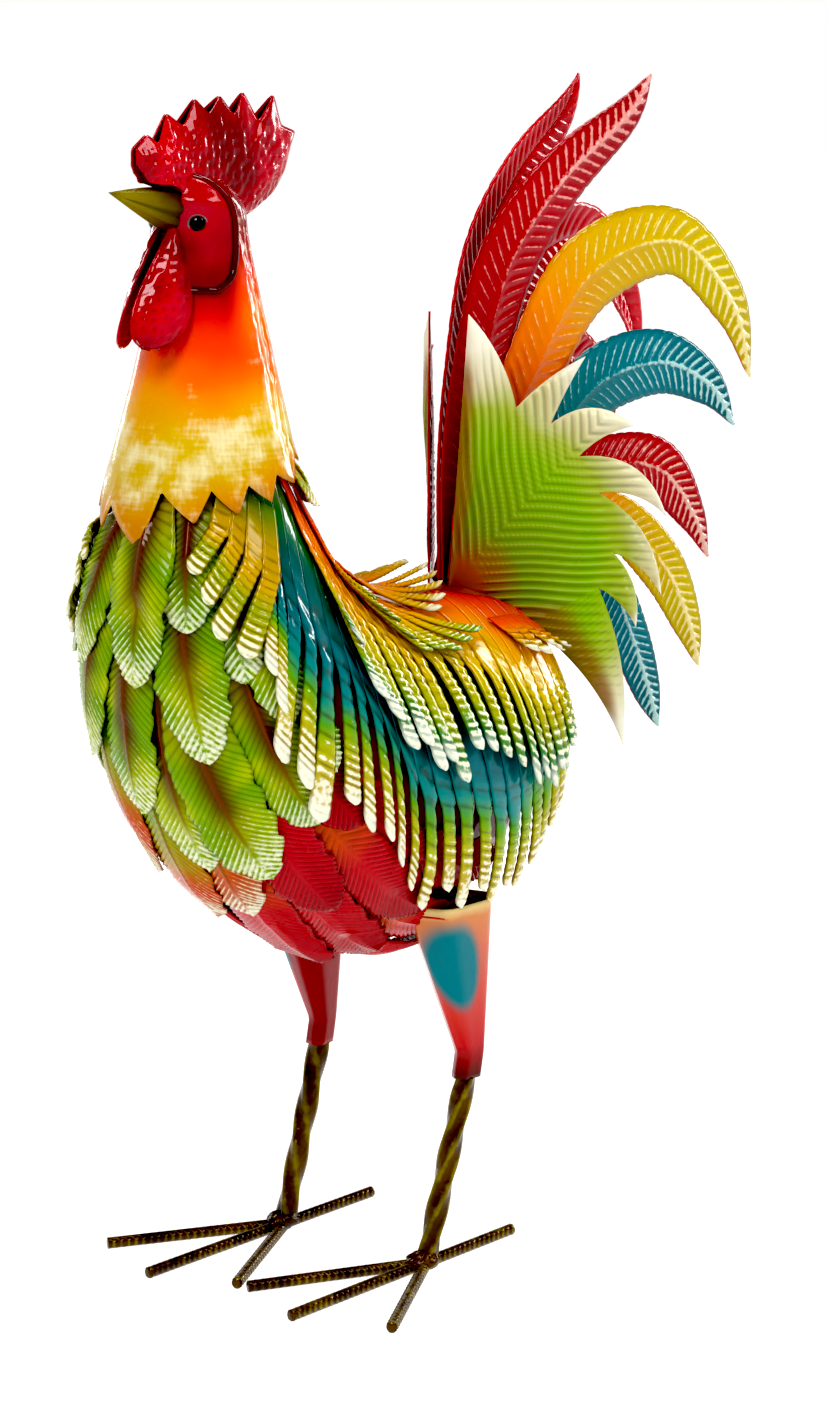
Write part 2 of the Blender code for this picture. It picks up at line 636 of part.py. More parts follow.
def fan(name, side, material):
    """The broad side plate of the tail, cut into seven curved fingers."""
    outline, start = [], FAN_START
    for tip, notch, bow_up, bow_down in FAN_FINGERS:
        outline += bowed(start, tip, bow_up) + bowed(tip, notch, bow_down)
        start = notch
    outline.append(np.array(start))
    faces = tessellate_polygon([[(*p, 0) for p in outline]])
    mirror = np.array([side, 1, 1])
    under = np.array([plane_point(*p, 0, FAN_OFFSET, FAN_SPLAY) for p in outline]) * mirror
    over = np.array([plane_point(*p, SHEET / U, FAN_OFFSET, FAN_SPLAY) for p in outline]) * mirror
    return sheet(name, under, over, [tuple(f) for f in faces], material)


# Legs

THIGH_RIM_Z = 173
THIGH_TOP = [(60, -2), (60, 27), (50, 36), (33, 31), (29, 4), (42, -7)]
THIGH_FOOT = 7.2
THIGH_SEAT = 4 * U


def thigh(name, side, material):
    """A folded funnel: a six-sided rim standing against the belly, narrowing to the knee."""
    knee = np.array(KNEE)
    rim = np.array([(x, y, THIGH_RIM_Z) for x, y in THIGH_TOP], float)
    middle = rim.mean(axis=0)
    small = []
    for corner in rim:
        away = (corner - middle)[:2]
        small.append([*(knee[:2] + away / np.linalg.norm(away) * THIGH_FOOT), knee[2] + 10])
    small = np.array(small)
    cuff = small + np.array([0, -2.5, -12])
    mirror = np.array([side, 1, 1])
    rings = [ring * U * mirror for ring in (cuff, small, rim)]
    return lofted(name, rings, rings[0].mean(axis=0), rings[2].mean(axis=0), material)


def shank(name, side, material):
    """A square bar twisted about its own axis, from the toe bar's top to the thigh's cuff."""
    steps = 15
    foot = np.array([FOOT_SPACING / 2, 0, TOE_ROD + FIT])
    cuff = np.array(KNEE) * U + np.array([0, -2.5 * U, -2 * U - FIT])
    corner = SHANK_BAR / math.sqrt(2)
    rings = []
    for share in np.linspace(0, 1, steps):
        centre = foot + (cuff - foot) * share
        turn = SHANK_TWIST * share + math.radians(45)
        rings.append([(side * (centre[0] + corner * math.cos(turn + math.radians(90 * i))),
                       centre[1] + corner * math.sin(turn + math.radians(90 * i)), centre[2]) for i in range(4)])
    rings = [np.array(ring) for ring in rings]
    return lofted(name, rings, rings[0].mean(axis=0), rings[-1].mean(axis=0), material)


def rod(name, start, end, material):
    """An eight-sided rod that lies on the floor on one of its flats."""
    start, end = np.array(start, float), np.array(end, float)
    along = (end - start) / np.linalg.norm(end - start)
    level = np.array([-along[1], along[0]])
    radius = TOE_ROD / 2 / math.cos(math.pi / 8)
    rings = []
    for x, y in (start, end):
        turn = np.radians(22.5 + 45 * np.arange(8))
        rings.append(np.array([(x + level[0] * radius * math.cos(a), y + level[1] * radius * math.cos(a),
                                TOE_ROD / 2 + radius * math.sin(a)) for a in turn]))
    return lofted(name, rings, rings[0].mean(axis=0), rings[1].mean(axis=0), material)


def foot(side_name, side, material):
    """The long toe bar, and a side toe mitred against it on each side."""
    x = side * FOOT_SPACING / 2
    rod(f"toe_bar_{side_name}", (x, -MIDDLE_TOE), (x, BACK_TOE), material)
    half_gap = TOE_ROD / 2 + FIT
    wall = prism(f"toe_mitre_{side_name}", [(-0.05, -0.02), (0.05, -0.02), (0.05, 0.02), (-0.05, 0.02)],
                 x - half_gap, x + half_gap, material)
    guide(wall)
    for inner, turn in (("outer", side * OUTER_TOE_ANGLE), ("inner", -side * INNER_TOE_ANGLE)):
        reach = (x + SIDE_TOE * math.sin(turn), -SIDE_TOE * math.cos(turn))
        begin = (x + half_gap * math.sin(turn), -half_gap * math.cos(turn))
        toe = rod(f"toe_{inner}_{side_name}", begin, reach, material)
        boolean(toe, wall)


def build():
    red = enamel("red enamel", (0.42, 0.01, 0.02))
    amber = enamel("amber enamel", (0.75, 0.25, 0.02))
    orange = enamel("orange enamel", (0.8, 0.14, 0.01))
    teal = enamel("teal enamel", (0.0, 0.18, 0.2))
    green = enamel("green enamel", (0.2, 0.38, 0.02))
    yellow = enamel("yellow enamel", (0.6, 0.45, 0.02))
    salmon = enamel("salmon enamel", (0.75, 0.2, 0.15))
    bronze = enamel("olive bronze", (0.13, 0.1, 0.03), 0.4, 0.7)
    black = enamel("black enamel", (0.01, 0.01, 0.012), 0.15, 0.0)
    horn = enamel("beak enamel", (0.35, 0.28, 0.02))

    hull("body", red)
    hull_cut = guide(hull("hull_cutter", red, FIT))
    belly_cut = guide(hull("belly_cutter", red, HULL_INSET + THIGH_SEAT))
    neck = neck_solid("neck", orange)
    boolean(neck, mask_block("mask_gap", red, FIT))
    head = head_solid("head", red)
    boolean(head, mask_block("mask_cutter", red), "INTERSECT")
    head_cut = guide(head_solid("head_cutter", red, FIT))
    neck_cut = guide(neck_solid("neck_cutter", red, FIT))
    boolean(beak_solid("beak", horn), head_cut)
    beak_cut = guide(beak_solid("beak_cutter", horn, 2 * FIT))

    cover = Cover()
    for name, station, (first, last), tips, lifts, notch in reversed(FEATHER_ROWS):
        roots = [(station, first), (station, (first + last) / 2), (station, last)]
        colour = red if name.startswith("belly") else green
        fringe(name, cover, roots, tips, lifts, notch, colour, leaf=True)
    sheet_colours = (teal, yellow, yellow, orange, orange, yellow)
    for (kind, roots, tips, lifts, notch), colour in zip(SIDE_SHEETS, sheet_colours):
        for side_name, side in (("left", 1), ("right", -1)):
            fringe(f"{kind}_{side_name}", cover, roots, tips, lifts, notch, colour, side=side)
    roots, tips, lifts, notch = NAPE
    fringe("nape", cover, roots, tips, lifts, notch, orange, leaf=True)

    for side_name, side in (("left", 1), ("right", -1)):
        boolean(eye(f"eye_{side_name}", side, black), head_cut)
        comb = comb_half(f"comb_{side_name}", side, red)
        boolean(comb, head_cut)
        boolean(comb, neck_cut)
        drop = wattle(f"wattle_{side_name}", side, red)
        boolean(drop, head_cut)
        boolean(drop, beak_cut)
        thigh_piece = thigh(f"thigh_{side_name}", side, salmon)
        boolean(thigh_piece, belly_cut)
        shank(f"shank_{side_name}", side, bronze)
        foot(side_name, side, bronze)
        boolean(fan(f"tail_fan_{side_name}", side, green), hull_cut)
        plume_colours = (red, amber, teal, red, amber, teal)
        for level, ((kind, spine, widths), colour) in enumerate(zip(PLUMES, plume_colours)):
            feather = plume(f"plume_{kind}_{side_name}", side, level, spine, widths, colour)
            boolean(feather, hull_cut)


def centre_lengthwise():
    """Moves everything along Y so that the statue's bounding box stands centred on the origin."""
    bpy.context.view_layer.update()
    reach = []
    for obj in bpy.data.objects:
        if not obj.hide_render:
            reach += [corner[1] for corner in obj.bound_box]
    for obj in bpy.data.objects:
        obj.location.y = -(min(reach) + max(reach)) / 2


for old in list(bpy.data.objects):
    bpy.data.objects.remove(old, do_unlink=True)
build()
centre_lengthwise()
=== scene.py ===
"""Looks of the metal rooster statue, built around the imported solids.

Lengths are drawn in millimetres and turned into metres when a mesh is made. The bird faces -Y and its left
side is +X. Plumage is placed on the bird's outer skin by a station k along the trunk, from the rump, 0, to
the crown, and by an angle in degrees around it, 0 on the back, 90 on the left flank, 180 on the breast.
"""

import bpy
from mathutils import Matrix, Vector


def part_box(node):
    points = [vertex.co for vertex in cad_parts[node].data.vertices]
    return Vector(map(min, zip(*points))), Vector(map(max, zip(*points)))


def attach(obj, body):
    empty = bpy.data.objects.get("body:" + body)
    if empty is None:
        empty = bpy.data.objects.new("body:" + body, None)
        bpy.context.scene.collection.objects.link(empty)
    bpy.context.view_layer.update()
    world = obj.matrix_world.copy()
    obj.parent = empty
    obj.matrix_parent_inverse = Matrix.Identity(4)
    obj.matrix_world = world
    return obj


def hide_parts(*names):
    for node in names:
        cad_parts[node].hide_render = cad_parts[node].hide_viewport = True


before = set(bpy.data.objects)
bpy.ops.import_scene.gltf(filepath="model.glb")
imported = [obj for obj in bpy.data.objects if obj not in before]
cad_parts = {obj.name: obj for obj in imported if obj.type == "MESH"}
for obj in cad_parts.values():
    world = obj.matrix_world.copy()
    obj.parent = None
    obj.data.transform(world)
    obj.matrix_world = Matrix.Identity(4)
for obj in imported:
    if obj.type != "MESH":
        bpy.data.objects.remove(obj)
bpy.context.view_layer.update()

import math

import bmesh
import bpy
import numpy as np
from mathutils import Vector

MM = 0.001
BEAK_TIP_Y = -157.6
SHIFT_Y = BEAK_TIP_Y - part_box("beak")[0].y / MM
SHEET, PLATE = 0.9, 1.0
SIDES = (("left", 1), ("right", -1))

# Trunk and neck, rump to crown: back (y, z), breast (y, z), half width
STATIONS = [
    ((120, 292), (126, 258), 16),
    ((106, 316), (120, 226), 36),
    ((80, 326), (100, 192), 52),
    ((46, 325), (66, 164), 62),
    ((14, 325), (24, 147), 69),
    ((-16, 334), (-20, 147), 70),
    ((-36, 347), (-60, 163), 69),
    ((-47, 360), (-104, 195), 66.5),
    ((-53, 372), (-137, 245), 62),
    ((-56, 383), (-153, 299), 56),
    ((-58, 395), (-152, 346), 49.5),
    ((-62, 412), (-144, 385), 42),
    ((-68, 438), (-130.5, 432), 31.5),
    ((-74, 466), (-122, 468), 24),
    ((-79, 490), (-120, 490), 20.5),
    ((-81, 504), (-121, 505), 19),
    ((-90, 514), (-118, 514), 13.5),
    ((-98, 518), (-111, 518), 5),
]
PROFILE = np.array([[*back, *breast, width] for back, breast, width in STATIONS], float)
CROWN = len(STATIONS) - 1


def through(points, k):
    """A smooth curve through points, read at the places k, which count the points from 0."""
    last = len(points) - 1
    i = np.minimum(np.floor(k).astype(int), last - 1)
    t = (k - i)[..., None]
    a, b, c, d = (points[np.clip(i + j, 0, last)] for j in (-1, 0, 1, 2))
    square, cube = 2 * a - 5 * b + 4 * c - d, 3 * b - a - 3 * c + d
    return 0.5 * (2 * b + (c - a) * t + square * t ** 2 + cube * t ** 3)


def bare_skin(k, degrees):
    p = through(PROFILE, np.clip(np.asarray(k, float), 0, CROWN - 1e-6))
    angle = np.radians(degrees)
    across, along = np.sin(angle), np.cos(angle)
    y = (p[..., 0] + p[..., 2]) / 2 + (p[..., 0] - p[..., 2]) / 2 * along
    z = (p[..., 1] + p[..., 3]) / 2 + (p[..., 1] - p[..., 3]) / 2 * along
    return np.stack([p[..., 4] * across, y, z], -1)


def unit(v):
    return v / np.maximum(np.linalg.norm(v, axis=-1, keepdims=True), 1e-9)


def skin_steps(k, degrees):
    """How the skin's point moves per station and per degree."""
    per_station = (bare_skin(k + 0.02, degrees) - bare_skin(np.maximum(k - 0.02, 0), degrees)) / 0.04
    per_degree = (bare_skin(k, degrees + 1) - bare_skin(k, degrees - 1)) / 2
    return per_station, per_degree


def skin(k, degrees, lift=0.0):
    k, degrees, lift = np.broadcast_arrays(np.asarray(k, float), np.asarray(degrees, float), lift)
    return bare_skin(k, degrees) + unit(np.cross(*skin_steps(k, degrees))) * lift[..., None]


def hull_lift(k):
    return -8 - 6 * np.clip((np.asarray(k, float) - 8.4) / 2, 0, 1)


def neck_lift(k):
    return -2 * np.clip((12.2 - np.asarray(k, float)) / 1.9, 0, 1)


def ease(low, high, x):
    t = np.clip((np.asarray(x, float) - low) / (high - low), 0, 1)
    return t * t * (3 - 2 * t)


def run_of(points):
    """How far each point is along its line."""
    return np.concatenate([[0], np.cumsum(np.linalg.norm(np.diff(points, axis=0), axis=1))])


def rounded(corners, steps, passes):
    """A closed line through corners, with that many steps a side, rounded off in passes."""
    closed = np.concatenate([corners, corners[:1]])
    share = np.linspace(0, 1, steps + 1)[:-1, None]
    ring = np.concatenate([here + (after - here) * share for here, after in zip(closed, closed[1:])])
    for _ in range(passes):
        ring = (np.roll(ring, 1, axis=0) + 2 * ring + np.roll(ring, -1, axis=0)) / 4
    return ring


def lid(ring):
    """A ring and its middle, to close the end of a tube."""
    return np.stack([ring, np.broadcast_to(ring.mean(axis=0), ring.shape)])


def scatter(*numbers):
    """A repeatable number from 0 to 1 for three numbers."""
    return (np.sin(np.dot(numbers, (12.9898, 78.233, 37.719))) * 43758.5453) % 1


def dimples(u, v, size):
    """Hammer marks: 0 on the ridges between them, 1 at the middle of each."""
    nearest = np.full(u.shape, 9.0)
    cu, cv = np.floor(u / size), np.floor(v / size)
    for du in (-1, 0, 1):
        for dv in (-1, 0, 1):
            gu, gv = cu + du, cv + dv
            ju = (np.sin(gu * 127.1 + gv * 311.7) * 43758.5453) % 1
            jv = (np.sin(gu * 269.5 + gv * 183.3) * 43758.5453) % 1
            away = (gu + 0.2 + 0.6 * ju - u / size) ** 2 + (gv + 0.2 + 0.6 * jv - v / size) ** 2
            nearest = np.minimum(nearest, away)
    return 1 - ease(0, 0.75, np.sqrt(nearest))


# Paint

BUMP_DEPTH = 0.0004


def colour(code):
    """A linear colour from a hexadecimal one."""
    parts = [int(code[i:i + 2], 16) / 255 for i in (0, 2, 4)]
    return tuple(p / 12.92 if p <= 0.04045 else ((p + 0.055) / 1.055) ** 2.4 for p in parts) + (1.0,)


class Paint:
    """A node material, built step by step."""

    def __init__(self, name, roughness, coat, metallic=0.0):
        self.material = bpy.data.materials.new(name)
        self.material.use_nodes = True
        self.nodes = self.material.node_tree.nodes
        self.links = self.material.node_tree.links
        self.shader = self.nodes["Principled BSDF"]
        self.shader.inputs["Roughness"].default_value = roughness
        self.shader.inputs["Metallic"].default_value = metallic
        self.shader.inputs["Specular IOR Level"].default_value = 0.3
        self.shader.inputs["Coat Weight"].default_value = coat * 0.5
        self.shader.inputs["Coat Roughness"].default_value = 0.06

    def put(self, socket, value):
        if isinstance(value, bpy.types.NodeSocket):
            self.links.new(value, socket)
        else:
            socket.default_value = value

    def guide(self, name):
        node = self.nodes.new("ShaderNodeAttribute")
        node.attribute_name = name
        return node

    def place(self):
        """The guides along and across a blade, and its own number."""
        split = self.nodes.new("ShaderNodeSeparateXYZ")
        self.put(split.inputs[0], self.guide("place").outputs["Vector"])
        return split.outputs

    def relief(self):
        return self.guide("relief").outputs["Fac"]

    def maths(self, operation, *values):
        node = self.nodes.new("ShaderNodeMath")
        node.operation = operation
        for socket, value in zip(node.inputs, values):
            self.put(socket, value)
        return node.outputs[0]

    def times(self, *values):
        """The first value times the second, plus the third if there is one."""
        return self.maths("MULTIPLY_ADD" if len(values) == 3 else "MULTIPLY", *values)

    def soft(self, low, high, value):
        node = self.nodes.new("ShaderNodeMapRange")
        node.interpolation_type = "SMOOTHSTEP"
        for socket, number in zip(node.inputs, (value, low, high)):
            self.put(socket, number)
        return node.outputs[0]

    def noise(self, scale, detail=3.0, stretch=(1, 1, 1)):
        """Noise from about -1 to 1, of that many waves per metre."""
        where = self.nodes.new("ShaderNodeTexCoord")
        mapping = self.nodes.new("ShaderNodeMapping")
        mapping.inputs["Scale"].default_value = stretch
        self.put(mapping.inputs["Vector"], where.outputs["Object"])
        node = self.nodes.new("ShaderNodeTexNoise")
        node.inputs["Scale"].default_value = scale
        node.inputs["Detail"].default_value = detail
        self.put(node.inputs["Vector"], mapping.outputs[0])
        return self.times(node.outputs[0], 4.0, -2.0)

    def ramp(self, value, stops):
        node = self.nodes.new("ShaderNodeValToRGB")
        self.put(node.inputs[0], value)
        elements = node.color_ramp.elements
        while len(elements) < len(stops):
            elements.new(0.5)
        for element, (position, code) in zip(elements, stops):
            element.position = position
            element.color = colour(code)
        return node.outputs[0]

    def mix(self, share, first, second):
        node = self.nodes.new("ShaderNodeMix")
        node.data_type = "RGBA"
        self.put(node.inputs[0], share)
        for socket, value in ((node.inputs[6], first), (node.inputs[7], second)):
            self.put(socket, colour(value) if isinstance(value, str) else value)
        return node.outputs[2]

    def stain(self, base, code, share, strength):
        """The base with that share of another colour over it, at that strength."""
        return self.mix(self.times(share, strength), base, code)

    def finish(self, base, height=None):
        """Sets the colour, gloss patchy from wear and a sprayed enamel's slight unevenness."""
        self.put(self.shader.inputs["Base Color"], base)
        gloss = self.noise(60, 2.0)
        low = self.shader.inputs["Roughness"].default_value
        self.put(self.shader.inputs["Roughness"], self.times(gloss, 0.05, low))
        grain = self.times(self.noise(260, 2.0), 0.25)
        if height is not None:
            grain = self.maths("ADD", grain, height)
        bump = self.nodes.new("ShaderNodeBump")
        bump.inputs["Distance"].default_value = BUMP_DEPTH
        bump.inputs["Strength"].default_value = 0.5
        self.put(bump.inputs["Height"], grain)
        self.put(self.shader.inputs["Normal"], bump.outputs[0])
        return self.material


def brushed(paint, base, cream, start, end, high):
    """Cream over the raised places, from start to end along the blade, and solid after end: partly cream
    paint dragged over them, partly a painted highlight on the ribs.
    """
    rough = paint.noise(420, 3.0)
    amount = paint.soft(start, end, paint.times(rough, 0.04, paint.place()[0]))
    raised = paint.times(rough, 0.3, paint.relief())
    threshold = paint.times(amount, -1.4, high)
    share = paint.soft(0.0, 0.5, paint.maths("SUBTRACT", raised, threshold))
    return paint.mix(paint.times(share, paint.soft(0.0, 0.12, amount)), base, cream)


def leaf_paint():
    paint = Paint("breast_leaf_enamel", 0.26, 0.5)
    along, across, tone = paint.place()
    from_rib = paint.maths("ABSOLUTE", across)
    drift = paint.noise(45, 2.0)
    along = paint.times(drift, 0.05, along)
    lime = paint.mix(paint.soft(-0.5, 0.8, drift), "76a008", "acbc10")
    lime = paint.mix(paint.soft(0.45, 0.0, along), lime, "98860c")
    brown = paint.times(paint.soft(0.7, 0.0, from_rib), paint.soft(0.94, 0.5, along))
    green = paint.mix(brown, lime, "5a2c08")
    pink = paint.ramp(along, [(0.3, "7fa008"), (0.55, "b08c10"), (0.72, "cc4a1c"), (0.9, "c46a58")])
    red = paint.ramp(along, [(0.2, "cc4a0c"), (0.38, "c00c1e"), (0.8, "ac081c"), (1.0, "980618")])
    base = paint.mix(paint.soft(0.25, 0.5, tone), green, pink)
    # Cream over the raised ribs: partly cream paint, partly painted highlight.
    painted = paint.mix(0.75, base, brushed(paint, base, "e6eac4", 0.45, 1.05, 1.2))
    blotches = paint.soft(-0.4, 0.5, paint.noise(380, 2.0))
    tip = paint.times(paint.soft(0.78, 0.95, along), blotches)
    painted = paint.stain(painted, "e9ead2", tip, 0.85)
    line = paint.times(paint.soft(0.1, 0.03, from_rib), paint.soft(0.97, 0.7, along))
    painted = paint.stain(painted, "7a4408", line, 0.6)
    painted = paint.mix(paint.soft(0.75, 0.95, tone), painted, red)
    # Painted shade: dark olive in the hollows between the ribs.
    painted = paint.stain(painted, "1f1c04", paint.soft(0.2, -0.8, paint.relief()), 0.35)
    # Painted shade: darker along the leaf's edges.
    return paint.finish(paint.stain(painted, "241a06", paint.soft(0.93, 1.0, from_rib), 0.25))


def finger_paint(name, stops, start, end, high, roughness=0.2):
    paint = Paint(name, roughness, 0.6)
    along = paint.place()[0]
    drift = paint.noise(38, 3.0)
    base = paint.ramp(paint.times(drift, 0.035, along), stops)
    # Painted shade: dark olive in the knuckles' hollows and along the fingers' edges.
    base = paint.stain(base, "3c3206", paint.soft(0.0, -1.0, paint.relief()), 0.55)
    # Cream over the raised ribs: partly cream paint, partly painted highlight.
    painted = brushed(paint, base, "ece8d0", start, end, high)
    tip = paint.soft(0.93, 1.0, paint.times(drift, 0.02, along))
    return paint.finish(paint.stain(painted, "e6ead8", tip, 0.7))


def plume_paint(name, stops, cream):
    paint = Paint(name, 0.2, 0.7)
    along, across, _ = paint.place()
    drift = paint.noise(30, 2.0)
    base = paint.ramp(paint.times(drift, 0.03, along), stops)
    rim = paint.soft(0.8, 1.0, paint.maths("ABSOLUTE", across))
    base = paint.stain(base, "2a0a04", rim, 0.25)
    # Cream over the raised ribs: partly cream paint, partly painted highlight.
    return paint.finish(paint.mix(0.78, base, brushed(paint, base, cream, 0.05, 1.5, 0.98)))


# Meshes

class Piece:
    """Grids of points that become one mesh, with the paint's guides kept at each point."""

    def __init__(self, name, material, nodes, slot, thickness=0.0, side=1):
        self.name, self.material, self.nodes, self.slot = name, material, nodes, slot
        self.thickness, self.side = thickness, side
        self.inside, self.welded = None, False
        self.points, self.faces, self.guides, self.relief, self.count = [], [], [], [], 0

    def grid(self, points, along=0.0, across=0.0, tone=0.0, relief=0.0, closed=False, flip=False):
        """flip takes the columns in the other order, which turns the faces over."""
        rows, columns = points.shape[:2]
        step = -1 if flip else 1
        index = np.arange(rows * columns).reshape(rows, columns) + self.count
        if closed:
            index = np.concatenate([index, index[:, :1]], axis=1)
        corners = [index[:-1, :-1], index[:-1, 1:], index[1:, 1:], index[1:, :-1]]
        self.faces.append(np.stack(corners, -1).reshape(-1, 4)[:, ::self.side])
        self.points.append(points[:, ::step].reshape(-1, 3) * (self.side, 1, 1))
        values = [np.broadcast_to(value, (rows, columns))[:, ::step].ravel()
                  for value in (along, across, tone, relief)]
        self.guides.append(np.stack(values[:3], -1))
        self.relief.append(values[3])
        self.count += rows * columns

    def make(self):
        points = (np.concatenate(self.points) - (0, SHIFT_Y, 0)) * MM
        faces = np.concatenate(self.faces)
        mesh = bpy.data.meshes.new(self.name)
        mesh.vertices.add(len(points))
        mesh.vertices.foreach_set("co", points.astype(np.float32).ravel())
        mesh.loops.add(faces.size)
        mesh.loops.foreach_set("vertex_index", faces.astype(np.int32).ravel())
        mesh.polygons.add(len(faces))
        mesh.polygons.foreach_set("loop_start", np.arange(0, faces.size, 4, dtype=np.int32))
        mesh.update(calc_edges=True)
        mesh.validate()
        mesh.shade_smooth()
        place = mesh.attributes.new("place", "FLOAT_VECTOR", "POINT")
        place.data.foreach_set("vector", np.concatenate(self.guides).astype(np.float32).ravel())
        relief = mesh.attributes.new("relief", "FLOAT", "POINT")
        relief.data.foreach_set("value", np.concatenate(self.relief).astype(np.float32))
        if self.welded:
            joined = bmesh.new()
            joined.from_mesh(mesh)
            bmesh.ops.remove_doubles(joined, verts=joined.verts, dist=0.03 * MM)
            joined.to_mesh(mesh)
            joined.free()
        mesh.materials.append(self.material)
        obj = bpy.data.objects.new(self.name, mesh)
        bpy.context.collection.objects.link(obj)
        if self.thickness:
            solid = obj.modifiers.new("Thickness", "SOLIDIFY")
            solid.thickness = self.thickness * MM
            solid.offset = -1
            if self.inside:
                mesh.materials.append(self.inside)
                solid.material_offset = 1
                solid.material_offset_rim = 1
        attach(obj, "root")
        if self.nodes:
            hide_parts(*self.nodes)


def tube(piece, path, radius):
    """A round bead along a path."""
    heading = unit(np.gradient(path, axis=0))
    up = unit(np.cross(heading, (0.3, 0.5, 0.8)))
    out = np.cross(heading, up)
    turn = np.radians(np.arange(8) * 45)[:, None]
    points = path[:, None] + (np.cos(turn) * up[:, None] + np.sin(turn) * out[:, None]) * radius
    ends = [np.repeat(path[i][None, None], len(turn), axis=1) for i in (0, -1)]
    piece.grid(np.concatenate([ends[0], points, ends[1]]), closed=True)


def turned(piece, centre, axis, profile_points):
    """A shape turned about an axis, from (distance along, radius) points."""
    level = unit(np.cross(axis, (0, 0, 1)))
    up = np.cross(level, axis)
    turn = np.radians(np.arange(28) * 360 / 28)[:, None]
    ring = level * np.cos(turn) + up * np.sin(turn)
    rows = [centre + axis * depth + ring * radius for depth, radius in profile_points]
    piece.grid(np.array(rows)[::-1], closed=True)


# The plumage is laid from the inside out, and each blade rests on what it covers

class Cover:
    """How high the plumage laid so far stands over the outer skin, by station and angle."""
    STATION, ANGLE, GAP = 0.08, 2.5, 0.35

    def __init__(self):
        stations = np.arange(0, 12.5, self.STATION)
        self.heights = np.repeat(hull_lift(stations)[:, None], round(360 / self.ANGLE), axis=1)

    def cells(self, spots):
        rows = np.rint(spots[..., 0] / self.STATION).astype(int)
        columns = np.rint(spots[..., 1] / self.ANGLE).astype(int)
        return np.clip(rows, 0, len(self.heights) - 1), columns % self.heights.shape[1]

    def floor(self, spots):
        widest = self.heights
        for shift in (-1, 1):
            widest = np.maximum(widest, np.roll(self.heights, shift, axis=1))
        padded = np.pad(widest, ((1, 1), (0, 0)), mode="edge")
        return np.maximum(np.maximum(padded[:-2], padded[1:-1]), padded[2:])[self.cells(spots)]

    def settle(self, spots, heights, across, notch=0):
        """Raises blades, which are one sheet down to row notch, to clear what they cover."""
        left, right = (1 - across) / 2, (1 + across) / 2
        strength = left ** 2 + right ** 2
        floor = self.floor(spots) + SHEET + self.GAP
        for _ in range(4):
            short = floor - heights
            lack = [np.maximum((short * share / strength).max(axis=2), 0) for share in (left, right)]
            if notch:
                joint = np.maximum(lack[1][:-1, :notch], lack[0][1:, :notch])
                lack[1][:-1, :notch], lack[0][1:, :notch] = joint, joint
            lack = [spread_out(values) * 0.6 for values in lack]
            heights = heights + lack[0][..., None] * left + lack[1][..., None] * right
        np.maximum.at(self.heights, self.cells(spots), heights)
        return heights


def spread_out(values):
    """Rounds off a row of raised places, so that the sheet bends softly over them."""
    count = values.shape[1]
    for gather in (np.max, np.mean):
        padded = np.pad(values, ((0, 0), (3, 3)), mode="edge")
        values = gather([padded[:, i:i + count] for i in range(7)], axis=0)
    return values


def on_skin(base, tip, along, across):
    """Stations and angles of spots given in millimetres from base towards tip and sideways."""
    base, tip = np.array(base, float), np.array(tip, float)
    walk = bare_skin(*(base + (tip - base) * np.linspace(0, 1, 12)[:, None]).T)
    length = np.linalg.norm(np.diff(walk, axis=0), axis=1).sum()
    along, across = np.broadcast_arrays(along * 1.0, across * 1.0)
    spots = base + (tip - base) * along[..., None]
    station, degree = skin_steps(spots[..., 0], spots[..., 1])
    heading = unit(station * (tip - base)[0] + degree * (tip - base)[1])
    sideways = np.cross(unit(np.cross(station, degree)), heading)
    a, b, c = (station * station).sum(-1), (station * degree).sum(-1), (degree * degree).sum(-1)
    p, q = (sideways * station).sum(-1), (sideways * degree).sum(-1)
    fall = a * c - b * b
    spots = spots + across[..., None] * np.stack([(p * c - q * b) / fall, (q * a - p * b) / fall], -1)
    return spots, length


LEAF_PITCH = 3.3
LEAF_SLANT = 1.05


def leaf_outline(x):
    """A blade's half width along its length: a slim foot, straight sides and a rounded point."""
    body = 0.66 + 0.34 * ease(0, 0.4, x)
    return body * np.maximum(1 - np.clip((x - 0.6) / 0.4, 0, 1) ** 2.6, 0) ** 0.64


def herringbone(length, half, slant, pitch, outline, ridge=(-0.7, 1.0, 0.1), rim=1.2):
    """Rows that follow a feather's ribs: shares along and across, distances across, and the ribs' relief."""
    count = max(8, int(length / pitch)) * len(ridge)
    start = np.linspace(0, 1, count + 1)
    lean = slant * ease(0, 0.25, start)
    end = start.copy()
    for _ in range(30):
        end = 0.5 * end + 0.5 * np.minimum(start + half / length * outline(end) * lean, 1)
    outward = np.array([0.04, 0.12, 0.3, 0.5, 0.7, 0.88, 1])
    share = np.concatenate([-outward[::-1], [0], outward])
    along = start[:, None] + (end - start)[:, None] * np.abs(share)
    width = (half * outline(end))[:, None] * share
    wave = np.array(ridge)[np.arange(count + 1) % len(ridge)][:, None]
    fade = ease(0.05, 0.2, np.abs(share)) * ease(0.0, 0.05, 1 - along) * ease(rim, rim - 0.25, np.abs(share))
    return along, np.broadcast_to(share, along.shape), width, wave * fade


